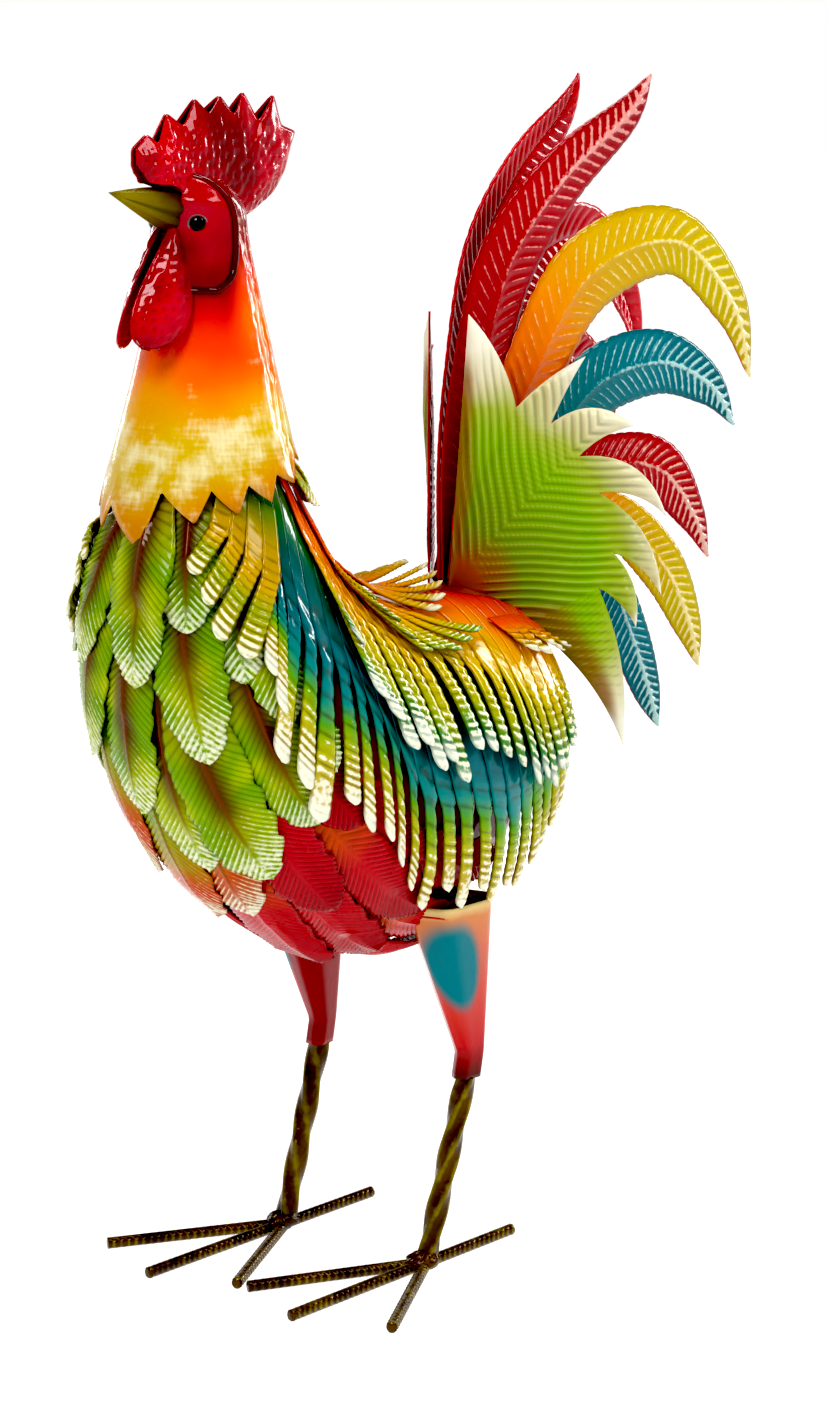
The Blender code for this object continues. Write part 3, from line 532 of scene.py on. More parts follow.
def leaf(piece, cover, base, tip, half, high, tone, nick=0.13):
    """One creased and ribbed leaf feather."""
    seed = scatter(base[0], base[1], tip[1])
    _, length = on_skin(base, tip, np.zeros(1), np.zeros(1))

    def outline(x):
        step = (x * 7.5 + seed) % 1
        return leaf_outline(x) * (1 - nick * ease(0.25, 1, step) * ease(0.35, 0.6, x))

    along, share, across, wave = herringbone(length, half, LEAF_SLANT, LEAF_PITCH, outline)
    spots, _ = on_skin(base, tip, along, across)
    low = hull_lift(spots[..., 0]) * 0.75 - 1
    heights = low + (high - low) * along ** 1.1
    heights = cover.settle(spots[None], heights[None], share[None])[0]
    side_fall = -2.2 * share ** 2 * ease(0, 0.5, along)
    rib = 1.3 * np.exp(-(across / 1.1) ** 2) * (1 - 0.7 * along)
    curl = 1.5 * ease(0.7, 1, along) * math.cos(seed * 9)
    points = skin(spots[..., 0], spots[..., 1], heights + side_fall * 0.5 + rib + wave * 0.42 + curl)
    piece.grid(points, along, share, tone, wave, flip=True)


def fringe(piece, cover, roots, tips, lifts, notches, shift):
    """A sheet whose free edge is cut into embossed fingers. shift moves the paint along each finger."""
    rows, columns = 54, 9
    tips, roots = np.array(tips, float), np.array(roots, float)
    count = len(tips)
    run = np.linspace(0, 1, count + 1)
    root_line = np.stack([np.interp(run, np.linspace(0, 1, len(roots)), roots[:, i]) for i in (0, 1)], -1)
    first, last = tips[0] * 1.5 - tips[1] * 0.5, tips[-1] * 1.5 - tips[-2] * 0.5
    bounds = np.vstack([first, (tips[:-1] + tips[1:]) / 2, last])
    cuts = np.interp(run, np.linspace(0, 1, len(notches)), notches)
    notch_line = root_line * (1 - cuts[:, None]) + bounds * cuts[:, None]
    notch_line[:, 0] += 0.4 * (bounds[:, 0] - notch_line[:, 0])
    high = np.interp(run, np.linspace(0, 1, len(lifts)), lifts)
    s = 1 - (1 - np.linspace(0, 1, rows)) ** 1.3
    t = np.linspace(-1, 1, columns)
    part = np.argmax(s > max(notches))
    spots = np.zeros((count, rows, columns, 2))
    widths = np.ones((count, rows))
    reach = np.zeros(count)
    for i in range(count):
        notch = cuts[i:i + 2].mean()
        sides = [root_line[i:i + 2], notch_line[i:i + 2]]
        middle, half = sides[1].mean(axis=0), (sides[1][1] - sides[1][0]) / 2
        reach[i] = np.linalg.norm(bare_skin(*tips[i]) - bare_skin(*root_line[i]))
        size = np.linalg.norm(bare_skin(*sides[1][1]) - bare_skin(*sides[1][0])) / 2
        for row, share in enumerate(s):
            if share <= notch:
                edge = sides[0] * (1 - share / notch) + sides[1] * share / notch
                centre, reach_side = edge.mean(axis=0), (edge[1] - edge[0]) / 2
            else:
                q = (share - notch) / (1 - notch)
                centre, reach_side = middle * (1 - q) + tips[i] * q, half
                slim = min(0.9, FINGER_HALF / size)
                left_over = (1 - share) * reach[i] / max(size * slim, 1)
                widths[i, row] = slim + (1 - slim) * (1 - ease(0, 0.1, q))
                widths[i, row] *= (1 - 0.12 * q) * math.sqrt(max(1 - max(1 - left_over, 0) ** 2, 0))
            spots[i, row] = centre + reach_side * widths[i, row] * t[:, None]
    low = hull_lift(spots[..., 0]) * 0.8
    top = (high[:-1] + high[1:])[:, None, None] / 2
    heights = low + (top - low) * s[None, :, None] ** 1.1
    tucked = neck_lift(spots[..., 0]) - 3.2
    heights = np.where(spots[..., 0] > 10.15, np.minimum(heights, tucked), heights)
    heights = cover.settle(spots, heights, np.broadcast_to(t, heights.shape), part)
    for i in range(count):
        notch = cuts[i:i + 2].mean()
        seed = scatter(i, count, notch)
        free = ease(notch - 0.07, notch + 0.05, s)[:, None]
        bulge = FINGER_CROWN * (np.sqrt(np.maximum(1 - 0.92 * t ** 2, 0)) - 0.6) * free
        embossed = ease(notch - 0.24, notch - 0.04, s)[:, None]
        wave = np.sin((s[:, None] - 1) * reach[i] / KNUCKLE_PITCH * 2 * np.pi + 0.8 * t ** 2 + 0.5 * seed)
        wave = wave * (1 - 0.55 * t ** 2) * embossed * ease(1, 0.93, s)[:, None]
        curl = FINGER_CURL * (seed - 0.35) * ease(notch, 1, s)[:, None]
        points = skin(spots[i, ..., 0], spots[i, ..., 1], heights[i] + bulge + KNUCKLE * wave + curl)
        paint_at = s[:, None] + shift(i / max(count - 1, 1)) + 0.05 * (seed - 0.5)
        # This is the paint's guide only: the fingers' edges read as low, for painted shade along them.
        edge = -1.0 * ease(0.7, 1, np.abs(t)) * free
        piece.grid(points, paint_at, t, seed, wave + edge, flip=True)


FINGER_HALF = 4.8
FINGER_CROWN = 2.2
FINGER_CURL = 1.6
KNUCKLE = 0.5
KNUCKLE_PITCH = 4.1
TEAL_STOPS = [(0.0, "8a8408"), (0.2, "0c6a30"), (0.32, "035a50"), (0.5, "00737c"), (0.63, "0a8a84"),
              (0.71, "5f9f18"), (0.8, "b4b418"), (0.92, "c0a838")]
WING_STOPS = [(0.0, "c83208"), (0.18, "dc5208"), (0.32, "e0780a"), (0.48, "d99e0c"), (0.66, "c4ae0e"),
              (0.82, "9fa812"), (0.92, "4a9440"), (1.0, "0c7a74")]
SADDLE_STOPS = [(0.0, "c02408"), (0.35, "da5208"), (0.6, "dd8c0c"), (0.85, "cfa01c"), (1.0, "c9b050")]
HACKLE_STOPS = [(0.0, "5f8008"), (0.25, "b08e0c"), (0.45, "cda40e"), (0.65, "9ca60e"), (0.85, "b0a820"),
                (1.0, "cfc678")]

leaf_enamel = leaf_paint()
mantle_enamel = finger_paint("mantle_finger_enamel", TEAL_STOPS, 0.66, 1.0, 0.85, 0.14)
wing_enamel = finger_paint("wing_finger_enamel", WING_STOPS, 0.48, 1.1, 0.9, 0.16)
saddle_enamel = finger_paint("saddle_finger_enamel", SADDLE_STOPS, 0.45, 1.5, 0.95)
hackle_enamel = finger_paint("hackle_finger_enamel", HACKLE_STOPS, 0.5, 1.05, 0.9)

# Leaf feathers, innermost row first: base (k, degrees), tip (k, degrees), half width, then the paint's tone,
# 0 green, 0.5 green to pink, 1 crimson
LEAVES = [
    ("belly_feathers_2", "belly_enamel", 1.0, [
        ((5.6, 110), (3.7, 118), 15, 1), ((5.6, 250), (3.7, 242), 15, 1), ((5.6, 135), (3.5, 143), 16, 1),
        ((5.6, 225), (3.5, 217), 16, 1), ((5.7, 160), (3.4, 168), 16, 1), ((5.7, 195), (3.4, 192), 16, 1)]),
    ("belly_feathers_1", "belly_enamel", 1.0, [
        ((7.0, 104), (5.2, 112), 15, 1), ((7.0, 256), (5.2, 248), 15, 1), ((7.0, 118), (4.8, 129), 16, 1),
        ((7.0, 232), (4.9, 226), 16, 1), ((7.2, 140), (4.9, 154), 17, 1), ((7.2, 205), (4.9, 204), 17, 1),
        ((7.5, 156), (5.2, 176), 17, 1)]),
    ("breast_feathers_5", "breast_enamel", 1.5, [
        ((8.0, 108), (6.45, 112), 15, 1), ((8.0, 252), (6.5, 246), 15, 0), ((8.0, 134), (6.2, 139), 17, 1),
        ((8.1, 226), (6.4, 219), 16, 0.5), ((8.4, 160), (6.7, 163), 17, 0.45),
        ((8.3, 182), (6.62, 184), 17.5, 0.5)]),
    ("breast_feathers_4", "breast_enamel", 2.0, [
        ((8.9, 104), (7.1, 106), 15, 0), ((8.9, 254), (7.1, 248), 15, 0), ((8.8, 122), (6.95, 121), 16, 0.2),
        ((8.8, 226), (7.05, 232), 16, 0.1), ((8.9, 209), (6.98, 205), 16.5, 0.5),
        ((9.2, 168), (7.3, 166), 17, 0.1), ((8.9, 151), (6.98, 145), 18.5, 0.0)]),
    ("breast_feathers_3", "breast_enamel", 2.0, [
        ((9.6, 106), (7.9, 110), 15, 0), ((9.6, 252), (7.9, 246), 15, 0), ((9.4, 228), (7.6, 229), 15, 0),
        ((9.5, 182), (7.83, 187), 17.5, 0)]),
    ("breast_feathers_2", "breast_enamel", 2.0, [
        ((10.3, 112), (8.6, 123), 15, 0.15), ((10.3, 246), (8.6, 241), 15, 0),
        ((10.2, 202), (8.1, 214), 16, 0), ((10.3, 147), (8.18, 146), 18, 0)]),
    ("breast_feathers_1", "breast_enamel", 1.5, [
        ((10.95, 120), (9.5, 124), 14, 0), ((10.95, 240), (9.4, 240), 14, 0),
        ((10.95, 143), (9.35, 144), 15, 0), ((10.95, 198), (8.9, 218), 16, 0),
        ((10.95, 168), (8.96, 173), 17.5, 0)]),
]

# Fringed sheets of one side, innermost first: welded edge and tips as (k, degrees), the tips' heights over
# the outer skin, the shares of the length before the fingers part, and how the paint moves along the row
SIDE_SHEETS = [
    ("mantle", "mantle_enamel", mantle_enamel,
     [(10.9, 96), (10.6, 68), (9.0, 44), (7.6, 36), (6.0, 34), (4.5, 34), (3.0, 38), (1.8, 50), (0.8, 60)],
     [(8.5, 112), (8.12, 113), (7.77, 121), (7.4, 118), (7.05, 121), (6.7, 109), (6.35, 112),
      (6.0, 111), (5.68, 116), (5.35, 122), (5.0, 128), (4.7, 121), (4.42, 127), (4.15, 122), (3.88, 130),
      (3.62, 127), (3.36, 132), (3.1, 128), (2.84, 129), (2.57, 125), (2.3, 125), (2.0, 120)],
     (4, 4, 4, 4, 9, 10, 6), (0.4, 0.5, 0.66, 0.72, 0.74),
     lambda share: 0.06 * (1 - ease(0.0, 0.3, share)) - 0.04 * ease(0.4, 0.7, share)),
    ("wing", "wing_enamel", wing_enamel,
     [(10.6, 62), (9.6, 40), (8.0, 20), (6.5, 6), (4.5, 2.5), (3.1, 3), (2.7, 20), (2.1, 33), (1.5, 43)],
     [(7.2, 69), (6.55, 77), (6.15, 79), (5.8, 84), (5.5, 81), (5.2, 86), (4.95, 83), (4.72, 88),
      (4.42, 79), (4.14, 80), (3.86, 83), (3.58, 88), (3.32, 96), (3.1, 97), (2.88, 103), (2.64, 101),
      (2.4, 105), (2.15, 102), (1.9, 104)], (5, 6, 7, 11, 8), (0.35, 0.5, 0.62, 0.66, 0.7),
     lambda share: 0.06 * (1 - ease(0.1, 0.5, share))),
    ("shoulder", "wing_enamel", wing_enamel,
     [(10.5, 50), (9.8, 37), (8.2, 24), (6.8, 16)],
     [(6.3, 44), (6.0, 46), (5.65, 46), (5.3, 49), (4.9, 51), (4.55, 49), (4.2, 49), (3.85, 46), (3.5, 44)],
     (5, 6), (0.45, 0.55), lambda share: -0.12),
    ("saddle", "wing_enamel", saddle_enamel,
     [(9.0, 14), (7.6, 8), (6.6, 4)], [(3.95, 32), (3.6, 27), (3.3, 20), (3.1, 13), (3.0, 6)], (4.5, 4.5),
     (0.5, 0.5), lambda share: 0.0),
    ("rump", "wing_enamel", saddle_enamel,
     [(2.9, 40), (2.3, 44), (1.8, 52)], [(2.55, 61), (2.3, 65), (2.05, 64), (1.8, 69), (1.55, 70)], (7, 7),
     (0.5, 0.5), lambda share: 0.1),
    ("hackle", "hackle_enamel", hackle_enamel,
     [(11.0, 124), (10.85, 108), (10.5, 98), (10.1, 84)],
     [(9.95, 141), (9.6, 135), (9.2, 131), (8.85, 121)], (-2, 0, 3, 4), (0.35, 0.35),
     lambda share: 0.0),
]
NAPE = [((10.9, -44), (9.0, -44)), ((10.9, 44), (9.0, 44)), ((10.9, -22), (8.3, -24)),
        ((10.9, 22), (8.3, 24)), ((10.9, 0), (7.9, 0))]


def plumage():
    cover = Cover()
    for name, slot, high, leaves in LEAVES:
        piece = Piece(f"{name}_leaves", leaf_enamel, (name,), slot, SHEET)
        for base, tip, half, tone in leaves:
            leaf(piece, cover, base, tip, half, high, tone)
        piece.make()
    mirrored = -np.arange(cover.heights.shape[1]) % cover.heights.shape[1]
    for name, slot, material, roots, tips, lifts, notches, shift in SIDE_SHEETS:
        before = cover.heights.copy()
        for side_name, side in SIDES:
            piece = Piece(f"{name}_{side_name}_sheet", material, (f"{name}_{side_name}",), slot, SHEET, side)
            if side < 0:
                laid, cover.heights = cover.heights, before[:, mirrored]
            fringe(piece, cover, roots, tips, lifts, notches, shift)
            piece.make()
        cover.heights = np.maximum(laid, cover.heights[:, mirrored])
    piece = Piece("nape_leaves", hackle_enamel, ("nape",), "hackle_enamel", SHEET)
    for base, tip in NAPE:
        leaf(piece, cover, base, tip, 9, 3.0, 0.0, nick=0.02)
    piece.make()


# Neck

COLLAR_NOTCHES = [(202, 10.75), (161, 10.95), (130, 10.85), (107, 10.75), (85, 10.65), (60, 10.6), (32, 10.6),
                  (2, 10.6), (-28, 10.6), (-56, 10.6), (-82, 10.7), (-106, 10.85), (-130, 10.85),
                  (-158, 10.75)]
POINT_SHARE, POINT_DROP = 0.7, 0.45
NECK_TOP = 16.85
SEAM_ANGLE, SEAM_WIDTH, SEAM_MARK = 70, 16, 6.0


def neck_paint():
    paint = Paint("neck_sprayed_enamel", 0.16, 0.7)
    along, _, back = paint.place()
    drift = paint.noise(24, 2.0)
    level = paint.times(drift, 0.035, along)
    behind = paint.times(back, paint.soft(0.34, 0.5, along))
    level = paint.times(behind, -0.15, level)
    base = paint.ramp(level, [(0.0, "b8700c"), (0.07, "cc8c0a"), (0.14, "ccaa08"), (0.2, "d2b00c"),
                              (0.27, "e09a08"), (0.33, "e87408"), (0.4, "e85005"), (0.46, "d93505"),
                              (0.53, "b0140c"), (0.7, "860812")])
    brush = paint.noise(75, 3.0)
    level_strokes, upright_strokes = (paint.noise(260, 2.0, (x, x, z)) for x, z in ((0.2, 2.5), (2.5, 0.2)))
    weave = paint.maths("ADD", level_strokes, upright_strokes)
    band = paint.times(paint.soft(0.28, 0.2, level), paint.soft(-0.06, 0.16, level))
    patches = paint.times(weave, 0.14, paint.times(brush, 0.5))
    cream = paint.soft(0.25, 1.05, paint.times(band, 0.56, patches))
    base = paint.stain(base, "e8dfb4", cream, 0.85)
    hem = paint.times(paint.soft(0.12, 0.05, level), paint.soft(0.1, 1.0, brush))
    base = paint.stain(base, "8a4a10", hem, 0.6)
    # Cream spots over the raised places of the dented seam strip: partly cream paint, partly a painted
    # highlight.
    raised_cream_and_sheen = paint.soft(0.0, 0.8, paint.relief())
    spots = paint.soft(-0.3, 0.8, paint.noise(200, 2.0, (1, 1, 0.5)))
    return paint.finish(paint.stain(base, "f0e4c4", paint.times(raised_cream_and_sheen, spots), 0.85))


def neck():
    angles = np.linspace(-180, 180, 216, endpoint=False)
    corners, levels = [], []
    for (angle, station), (after, _) in zip(COLLAR_NOTCHES, COLLAR_NOTCHES[1:]):
        corners += [angle, angle + (after - angle) * POINT_SHARE]
        levels += [station, station - POINT_DROP]
    order = np.argsort(corners)
    hem = np.interp((angles + 158) % 360 - 158, np.array(corners)[order], np.array(levels)[order], period=360)
    share = np.linspace(0, 1, 60)[:, None]
    k = hem + (NECK_TOP - hem) * share
    flare = 0.7 * ease(0.06, 0, share)
    from_back = np.abs(angles)
    strip = np.exp(-((from_back - SEAM_ANGLE) / SEAM_WIDTH) ** 2)
    strip = strip * ease(0.03, 0.12, share) * ease(0.72, 0.6, share)
    dents = dimples(from_back * 0.5 + 0 * k, k * 26, SEAM_MARK) * strip
    seam = np.exp(-((from_back - 62) / 3.0) ** 2) * ease(0.03, 0.1, share) * ease(0.8, 0.6, share)
    points = skin(k, angles, neck_lift(k) + flare - 0.9 * dents + 0.5 * seam)
    relief = strip * 0.9 - dents
    piece = Piece("neck_cone", neck_paint(), ("neck",), "neck_enamel", SHEET)
    piece.grid(points, (k - 10.3) / 5.0, 0.0, ease(118, 90, from_back), relief, closed=True, flip=True)
    piece.grid(lid(points[-1]), 1.0, closed=True, flip=True)
    piece.make()


# Head

MASK_EDGE = np.array([(468, -120), (469, -111), (473, -106), (480, -103), (488, -101.5), (496, -101),
                      (504, -102), (511, -105), (516, -110), (520, -116)], float)
MASK_FOOT = 13.02
HAMMER_MARK = 4.4


def red_paint(name, deep="7c0614", bright="c40e2c", roughness=0.14, hollows=0.2):
    paint = Paint(name, roughness, 0.8)
    base = paint.mix(paint.soft(-0.8, 0.7, paint.noise(30, 3.0)), deep, bright)
    # Painted shade: near-black red in the low places of the relief guide, the hollows of the hammer marks.
    return paint.finish(paint.stain(base, "2c0206", paint.soft(0.5, 0.0, paint.relief()), hollows))


def dark_paint(name, code, roughness):
    paint = Paint(name, roughness, 0.8)
    return paint.finish(paint.mix(paint.soft(-1, 1, paint.noise(80, 2.0)), code, "0a0605"))


face_enamel = red_paint("face_mask_enamel", "780618", "ae0a26", 0.12)
hammered_enamel = red_paint("hammered_red_enamel")
rim_enamel = red_paint("mask_rim_enamel", "4a0208", "7c0610", 0.1)


def mask_border(k):
    """The angle, from the back, at which the mask begins at each station."""
    angles = np.linspace(0, 180, 361)
    points = skin(k[:, None], angles[None], 1.5)
    edge = np.interp(points[..., 2], MASK_EDGE[:, 0], MASK_EDGE[:, 1])
    inside = points[..., 1] < edge
    first = np.argmax(inside, axis=1)
    return np.where(inside.any(axis=1), angles[first], 180.0)


def apart(at, middle, width):
    """The square of how many widths a place is from the middle."""
    return ((at - middle) / width) ** 2


def head():
    k = np.concatenate([np.linspace(MASK_FOOT, 13.3, 12), np.linspace(13.33, NECK_TOP, 64)])
    border = mask_border(k)
    for _ in range(4):
        border = np.convolve(np.pad(border, 2, mode="edge"), np.ones(5) / 5, mode="valid")
    share = np.linspace(0, 1, 61)
    angles = border[:, None] + (360 - 2 * border)[:, None] * share
    from_edge = np.minimum(share, 1 - share)[None] * 2
    up = k[:, None]
    cheek = 1.2 * np.exp(-apart(up, 14.3, 0.5) - apart(from_edge, 0.45, 0.25))
    brow = 1.3 * np.exp(-apart(up, 15.15, 0.25) - apart(from_edge, 0.5, 0.3))
    socket = -1.3 * np.exp(-apart(up, 14.5, 0.33) - apart(from_edge, 0.52, 0.16))
    edge = 1.3 * ease(0, 0.12, from_edge) * ease(0, 0.12, up - MASK_FOOT)
    points = skin(up, angles, 0.6 + edge + cheek + brow + socket)
    piece = Piece("face_mask", face_enamel, ("head",), "face_enamel", SHEET)
    piece.grid(points, relief=0.5, flip=True)
    piece.grid(lid(points[-1]), relief=0.5, flip=True)
    piece.make()
    rim = Piece("mask_rim", rim_enamel, (), "face_enamel")
    bottom = skin(np.full(60, MASK_FOOT), np.linspace(border[0], 360 - border[0], 60), 1.2)
    near, far = skin(k, border, 1.6)[::-1], skin(k, 360 - border, 1.6)
    tube(rim, np.concatenate([near[5:], bottom[1:-1], far[:-5]]), 1.5)
    rim.make()


BEAK_ROOT_Y, BEAK_LENGTH, BEAK_TIP_Z = -116, 41.6, 512.0
BEAK_HALF = [(8.5, 510.5), (10.8, 503), (7, 494)]


def beak():
    paint = Paint("beak_horn_enamel", 0.28, 0.5)
    level = paint.times(paint.noise(90, 3.0), 0.06, paint.place()[0])
    base = paint.ramp(level, [(0.0, "241006"), (0.2, "4a2c0a"), (0.45, "75650c"), (0.8, "8b7d10"),
                              (1.0, "6a560c")])
    material = paint.finish(paint.stain(base, "1d1206", paint.soft(-0.2, -0.9, paint.relief()), 0.5))
    far = [(-x, z) for x, z in reversed(BEAK_HALF)]
    ring = rounded(np.array([(0, 513), *BEAK_HALF, (0, 490), *far], float), 8, 1)
    share = np.linspace(0, 1, 44)[:, None]
    size = 1 - share ** 1.12
    z = BEAK_TIP_Z + (ring[:, 1] - BEAK_TIP_Z) * size
    z = z + 0.9 * np.sin(share * np.pi) * ease(500, 512, ring[:, 1])
    mouth = -np.exp(-((ring[:, 1] - 499.5) / 1.6) ** 2) * ease(0.95, 0.7, share)
    x = ring[:, 0] * size * (1 + 0.1 * mouth)
    points = np.stack(np.broadcast_arrays(x, BEAK_ROOT_Y - BEAK_LENGTH * share, z), -1)
    top = ease(505, 512, ring[:, 1]) * 0.14 * ease(0.9, 0.3, share)
    piece = Piece("beak_horn", material, ("beak",), "beak_enamel")
    piece.grid(points, share - top, relief=mouth, closed=True, flip=True)
    piece.make()


EYE_STATION, EYE_ANGLE = 14.45, 40
EYE_DOME = [(-1.0, 3.7), (0.6, 3.7), (1.5, 3.3), (2.1, 2.4), (2.5, 1.3), (2.6, 0.0)]
EYE_RIM = [(-1.0, 4.7), (0.5, 4.7), (0.95, 4.45), (1.1, 4.1), (0.95, 3.75), (0.3, 3.6)]


def eyes():
    black = dark_paint("eye_black_enamel", "060608", 0.06)
    ring = dark_paint("eye_ring_enamel", "8f8c92", 0.3)
    for side_name, side in SIDES:
        seat, above = (skin(EYE_STATION, 180 - side * EYE_ANGLE, lift) for lift in (0.6, 2.5))
        button = Piece(f"eye_button_{side_name}", black, (f"eye_{side_name}",), "eye_enamel")
        rim = Piece(f"eye_ring_{side_name}", ring, (), "eye_enamel")
        for piece, shape in ((button, EYE_DOME), (rim, EYE_RIM)):
            turned(piece, seat, unit(above - seat), shape)
            piece.make()


def both_sides(name, node, material, slot, *guides, inside=None, **options):
    """One plate and its mirror image. The names have a gap for the side."""
    for side_name, side in SIDES:
        piece = Piece(name.format(side_name), material, (node.format(side_name),), slot, PLATE, side)
        piece.inside = inside
        piece.grid(*guides, **options)
        piece.make()


# The comb's columns from the beak backward: foot (y, z), top (y, z), half thickness at the top
COMB_COLUMNS = [
    ((-136, 515.5), (-142, 523), 1.6), ((-134, 515), (-142, 530), 1.4), ((-131, 514.5), (-134, 536), 0.8),
    ((-128, 514.5), (-129, 532), 2.6), ((-124, 513.5), (-122, 545), 0.5), ((-119, 511), (-114, 539), 3.2),
    ((-115, 511), (-104, 551), 0.5), ((-110, 510), (-98, 544), 3.4), ((-106, 509), (-88, 552), 0.5),
    ((-102, 507), (-82, 543), 3.4), ((-99, 505), (-73, 553.5), 0.5), ((-95, 503), (-66, 540), 3.2),
    ((-92, 501), (-53, 552), 0.5), ((-90, 500), (-50, 538), 2.2), ((-88, 499), (-39, 535), 0.8),
    ((-87, 498), (-43, 528), 1.4), ((-86, 497), (-47, 518), 1.6), ((-85, 496), (-54, 509), 1.6),
    ((-84, 495), (-66, 502), 1.6),
]


def comb():
    table = np.array([[*base, *top, off] for base, top, off in COMB_COLUMNS], float)
    last = len(table) - 1
    k = np.linspace(0, last, last * 9 + 1)
    whole = np.floor(k).astype(int).clip(0, last - 1)
    part = (k - whole)[:, None]
    columns = table[whole] * (1 - part) + table[whole + 1] * part
    near = [columns[np.clip(np.arange(len(k)) + j, 0, len(k) - 1)] for j in range(-2, 3)]
    columns = 0.45 * columns + 0.55 * np.mean(near, axis=0)
    foot_y, foot_z, top_y, top_z, edge = columns.T
    up = np.linspace(0, 1, 34)[:, None]
    y = foot_y * (1 - up) + top_y * up
    z = foot_z * (1 - up) + top_z * up
    full = 7.5 * np.interp(np.minimum(k, last - k), (0, 1, 2, 3), (0.3, 0.55, 0.8, 1))
    x = edge + (full - edge) * (1 - up ** 2.4)
    marks = dimples(y, z, HAMMER_MARK) * ease(0, 0.1, 1 - up)
    x = np.maximum(x + (1.3 - 0.9 * marks) * (1 - up ** 5), 0.55)
    points = np.stack(np.broadcast_arrays(x, y, z), -1)
    both_sides("comb_plate_{}", "comb_{}", hammered_enamel, "face_enamel", points, relief=1 - marks)


WATTLE_TOP, WATTLE_FALL = (3.0, -121.5, 498.0), (6.1, -19.5, -53.5)
WATTLE_HALF, WATTLE_TURN = 14.0, math.radians(25)


def wattles():
    across = np.array([math.sin(WATTLE_TURN), math.cos(WATTLE_TURN), 0])
    fall = np.array(WATTLE_FALL)
    outward = unit(np.cross(fall, across))
    t = np.linspace(0.01, 0.999, 60)[:, None]
    share = np.linspace(-1, 1, 33)[None]
    half = WATTLE_HALF * np.sin(np.pi * t ** 2.1) ** 0.4
    swell = np.sin(np.pi * np.minimum(t, 0.98)) ** 0.5
    from_rim = 1 - np.abs(share)
    marks = dimples(half * share + 50, t * 57 + 20, HAMMER_MARK) * ease(0, 0.1, from_rim) * ease(0, 0.08, t)
    lift = 5.5 * (1 - share ** 2) * swell + 0.9 * ease(0.8, 1, np.abs(share)) - 0.45 * marks
    points = np.array(WATTLE_TOP) + fall * t[..., None] + across * (half * share + 1.5 * swell)[..., None]
    points = points + outward * lift[..., None]
    both_sides("wattle_drop_{}", "wattle_{}", hammered_enamel, "face_enamel", points, relief=1 - marks,
               flip=True)


# Tail

ROOT_Y = 66.0


def plane_point(back, up, off, offset, splay):
    x = offset + back * math.sin(splay) + off * math.cos(splay)
    y = ROOT_Y + back * math.cos(splay) - off * math.sin(splay)
    return np.stack(np.broadcast_arrays(x, y, up), -1)


PLUME_RIDGE = (-0.35, -0.35, 0.2, 1.0, 0.2)
PLUME_SLANT = 0.8
plain_red = red_paint("plain_red_enamel", "b00a1c", "cc1228", 0.16, 0.0)
RED_STOPS = [(0.0, "64040e"), (0.3, "a00518"), (0.7, "ac061a"), (1.0, "980616")]
AMBER_STOPS = [(0.0, "741408"), (0.2, "a63c0c"), (0.34, "dc6c0a"), (0.44, "e08a0c"), (0.55, "cfa60a"),
               (0.8, "c2b00a"), (1.0, "b49c10")]
BLUE_STOPS = [(0.0, "5f7f10"), (0.15, "2a7a40"), (0.3, "0c7070"), (0.7, "067884"), (1.0, "075c66")]

# Plumes of one side from the middle outward: splay in degrees, spine as (back, up), half widths, rib pitch,
# colours
PLUMES = [
    ("sickle", 8.6, [(4, 318), (10, 370), (20, 414), (38, 468), (74, 508), (118, 538), (134, 557)],
     [6, 13, 17, 18.8, 15.3, 8.9, 0.8], 6.6, "red_plume_enamel", RED_STOPS, "e9a9a0"),
    ("arched", 8.6, [(5, 318), (18, 360), (46, 405), (87, 460), (148, 475), (190, 442), (205, 404)],
     [6, 12, 18, 21, 16.7, 12, 0.8], 6.8, "amber_plume_enamel", AMBER_STOPS, "ecdfa6"),
    ("teal", 9.6, [(6, 317), (26, 350), (59, 380), (92, 408), (135, 416), (170, 402), (188, 381)],
     [6, 9, 13.5, 17.9, 16.2, 10.5, 0.8], 5.6, "teal_plume_enamel", BLUE_STOPS, "bfe0da"),
    ("small_red", 10.8, [(8, 316), (24, 340), (52, 357), (90, 369), (130, 363), (154, 338), (165, 316)],
     [5, 8, 10, 13, 15.6, 9, 0.8], 5.0, "red_plume_enamel", RED_STOPS, "e9c2b0"),
    ("small_amber", 12, [(11, 315), (26, 336), (59, 350), (98, 341), (129, 315), (147, 284), (154, 262)],
     [5, 8, 10, 13, 13.7, 9, 0.8], 5.0, "amber_plume_enamel", AMBER_STOPS, "ecdfa6"),
    ("small_teal", 13.2, [(14, 314), (28, 332), (58, 338), (88, 314), (104, 283), (116, 254), (123, 235)],
     [5, 7, 8, 11, 12, 8.5, 0.8], 4.6, "teal_plume_enamel", BLUE_STOPS, "bfe0da"),
]


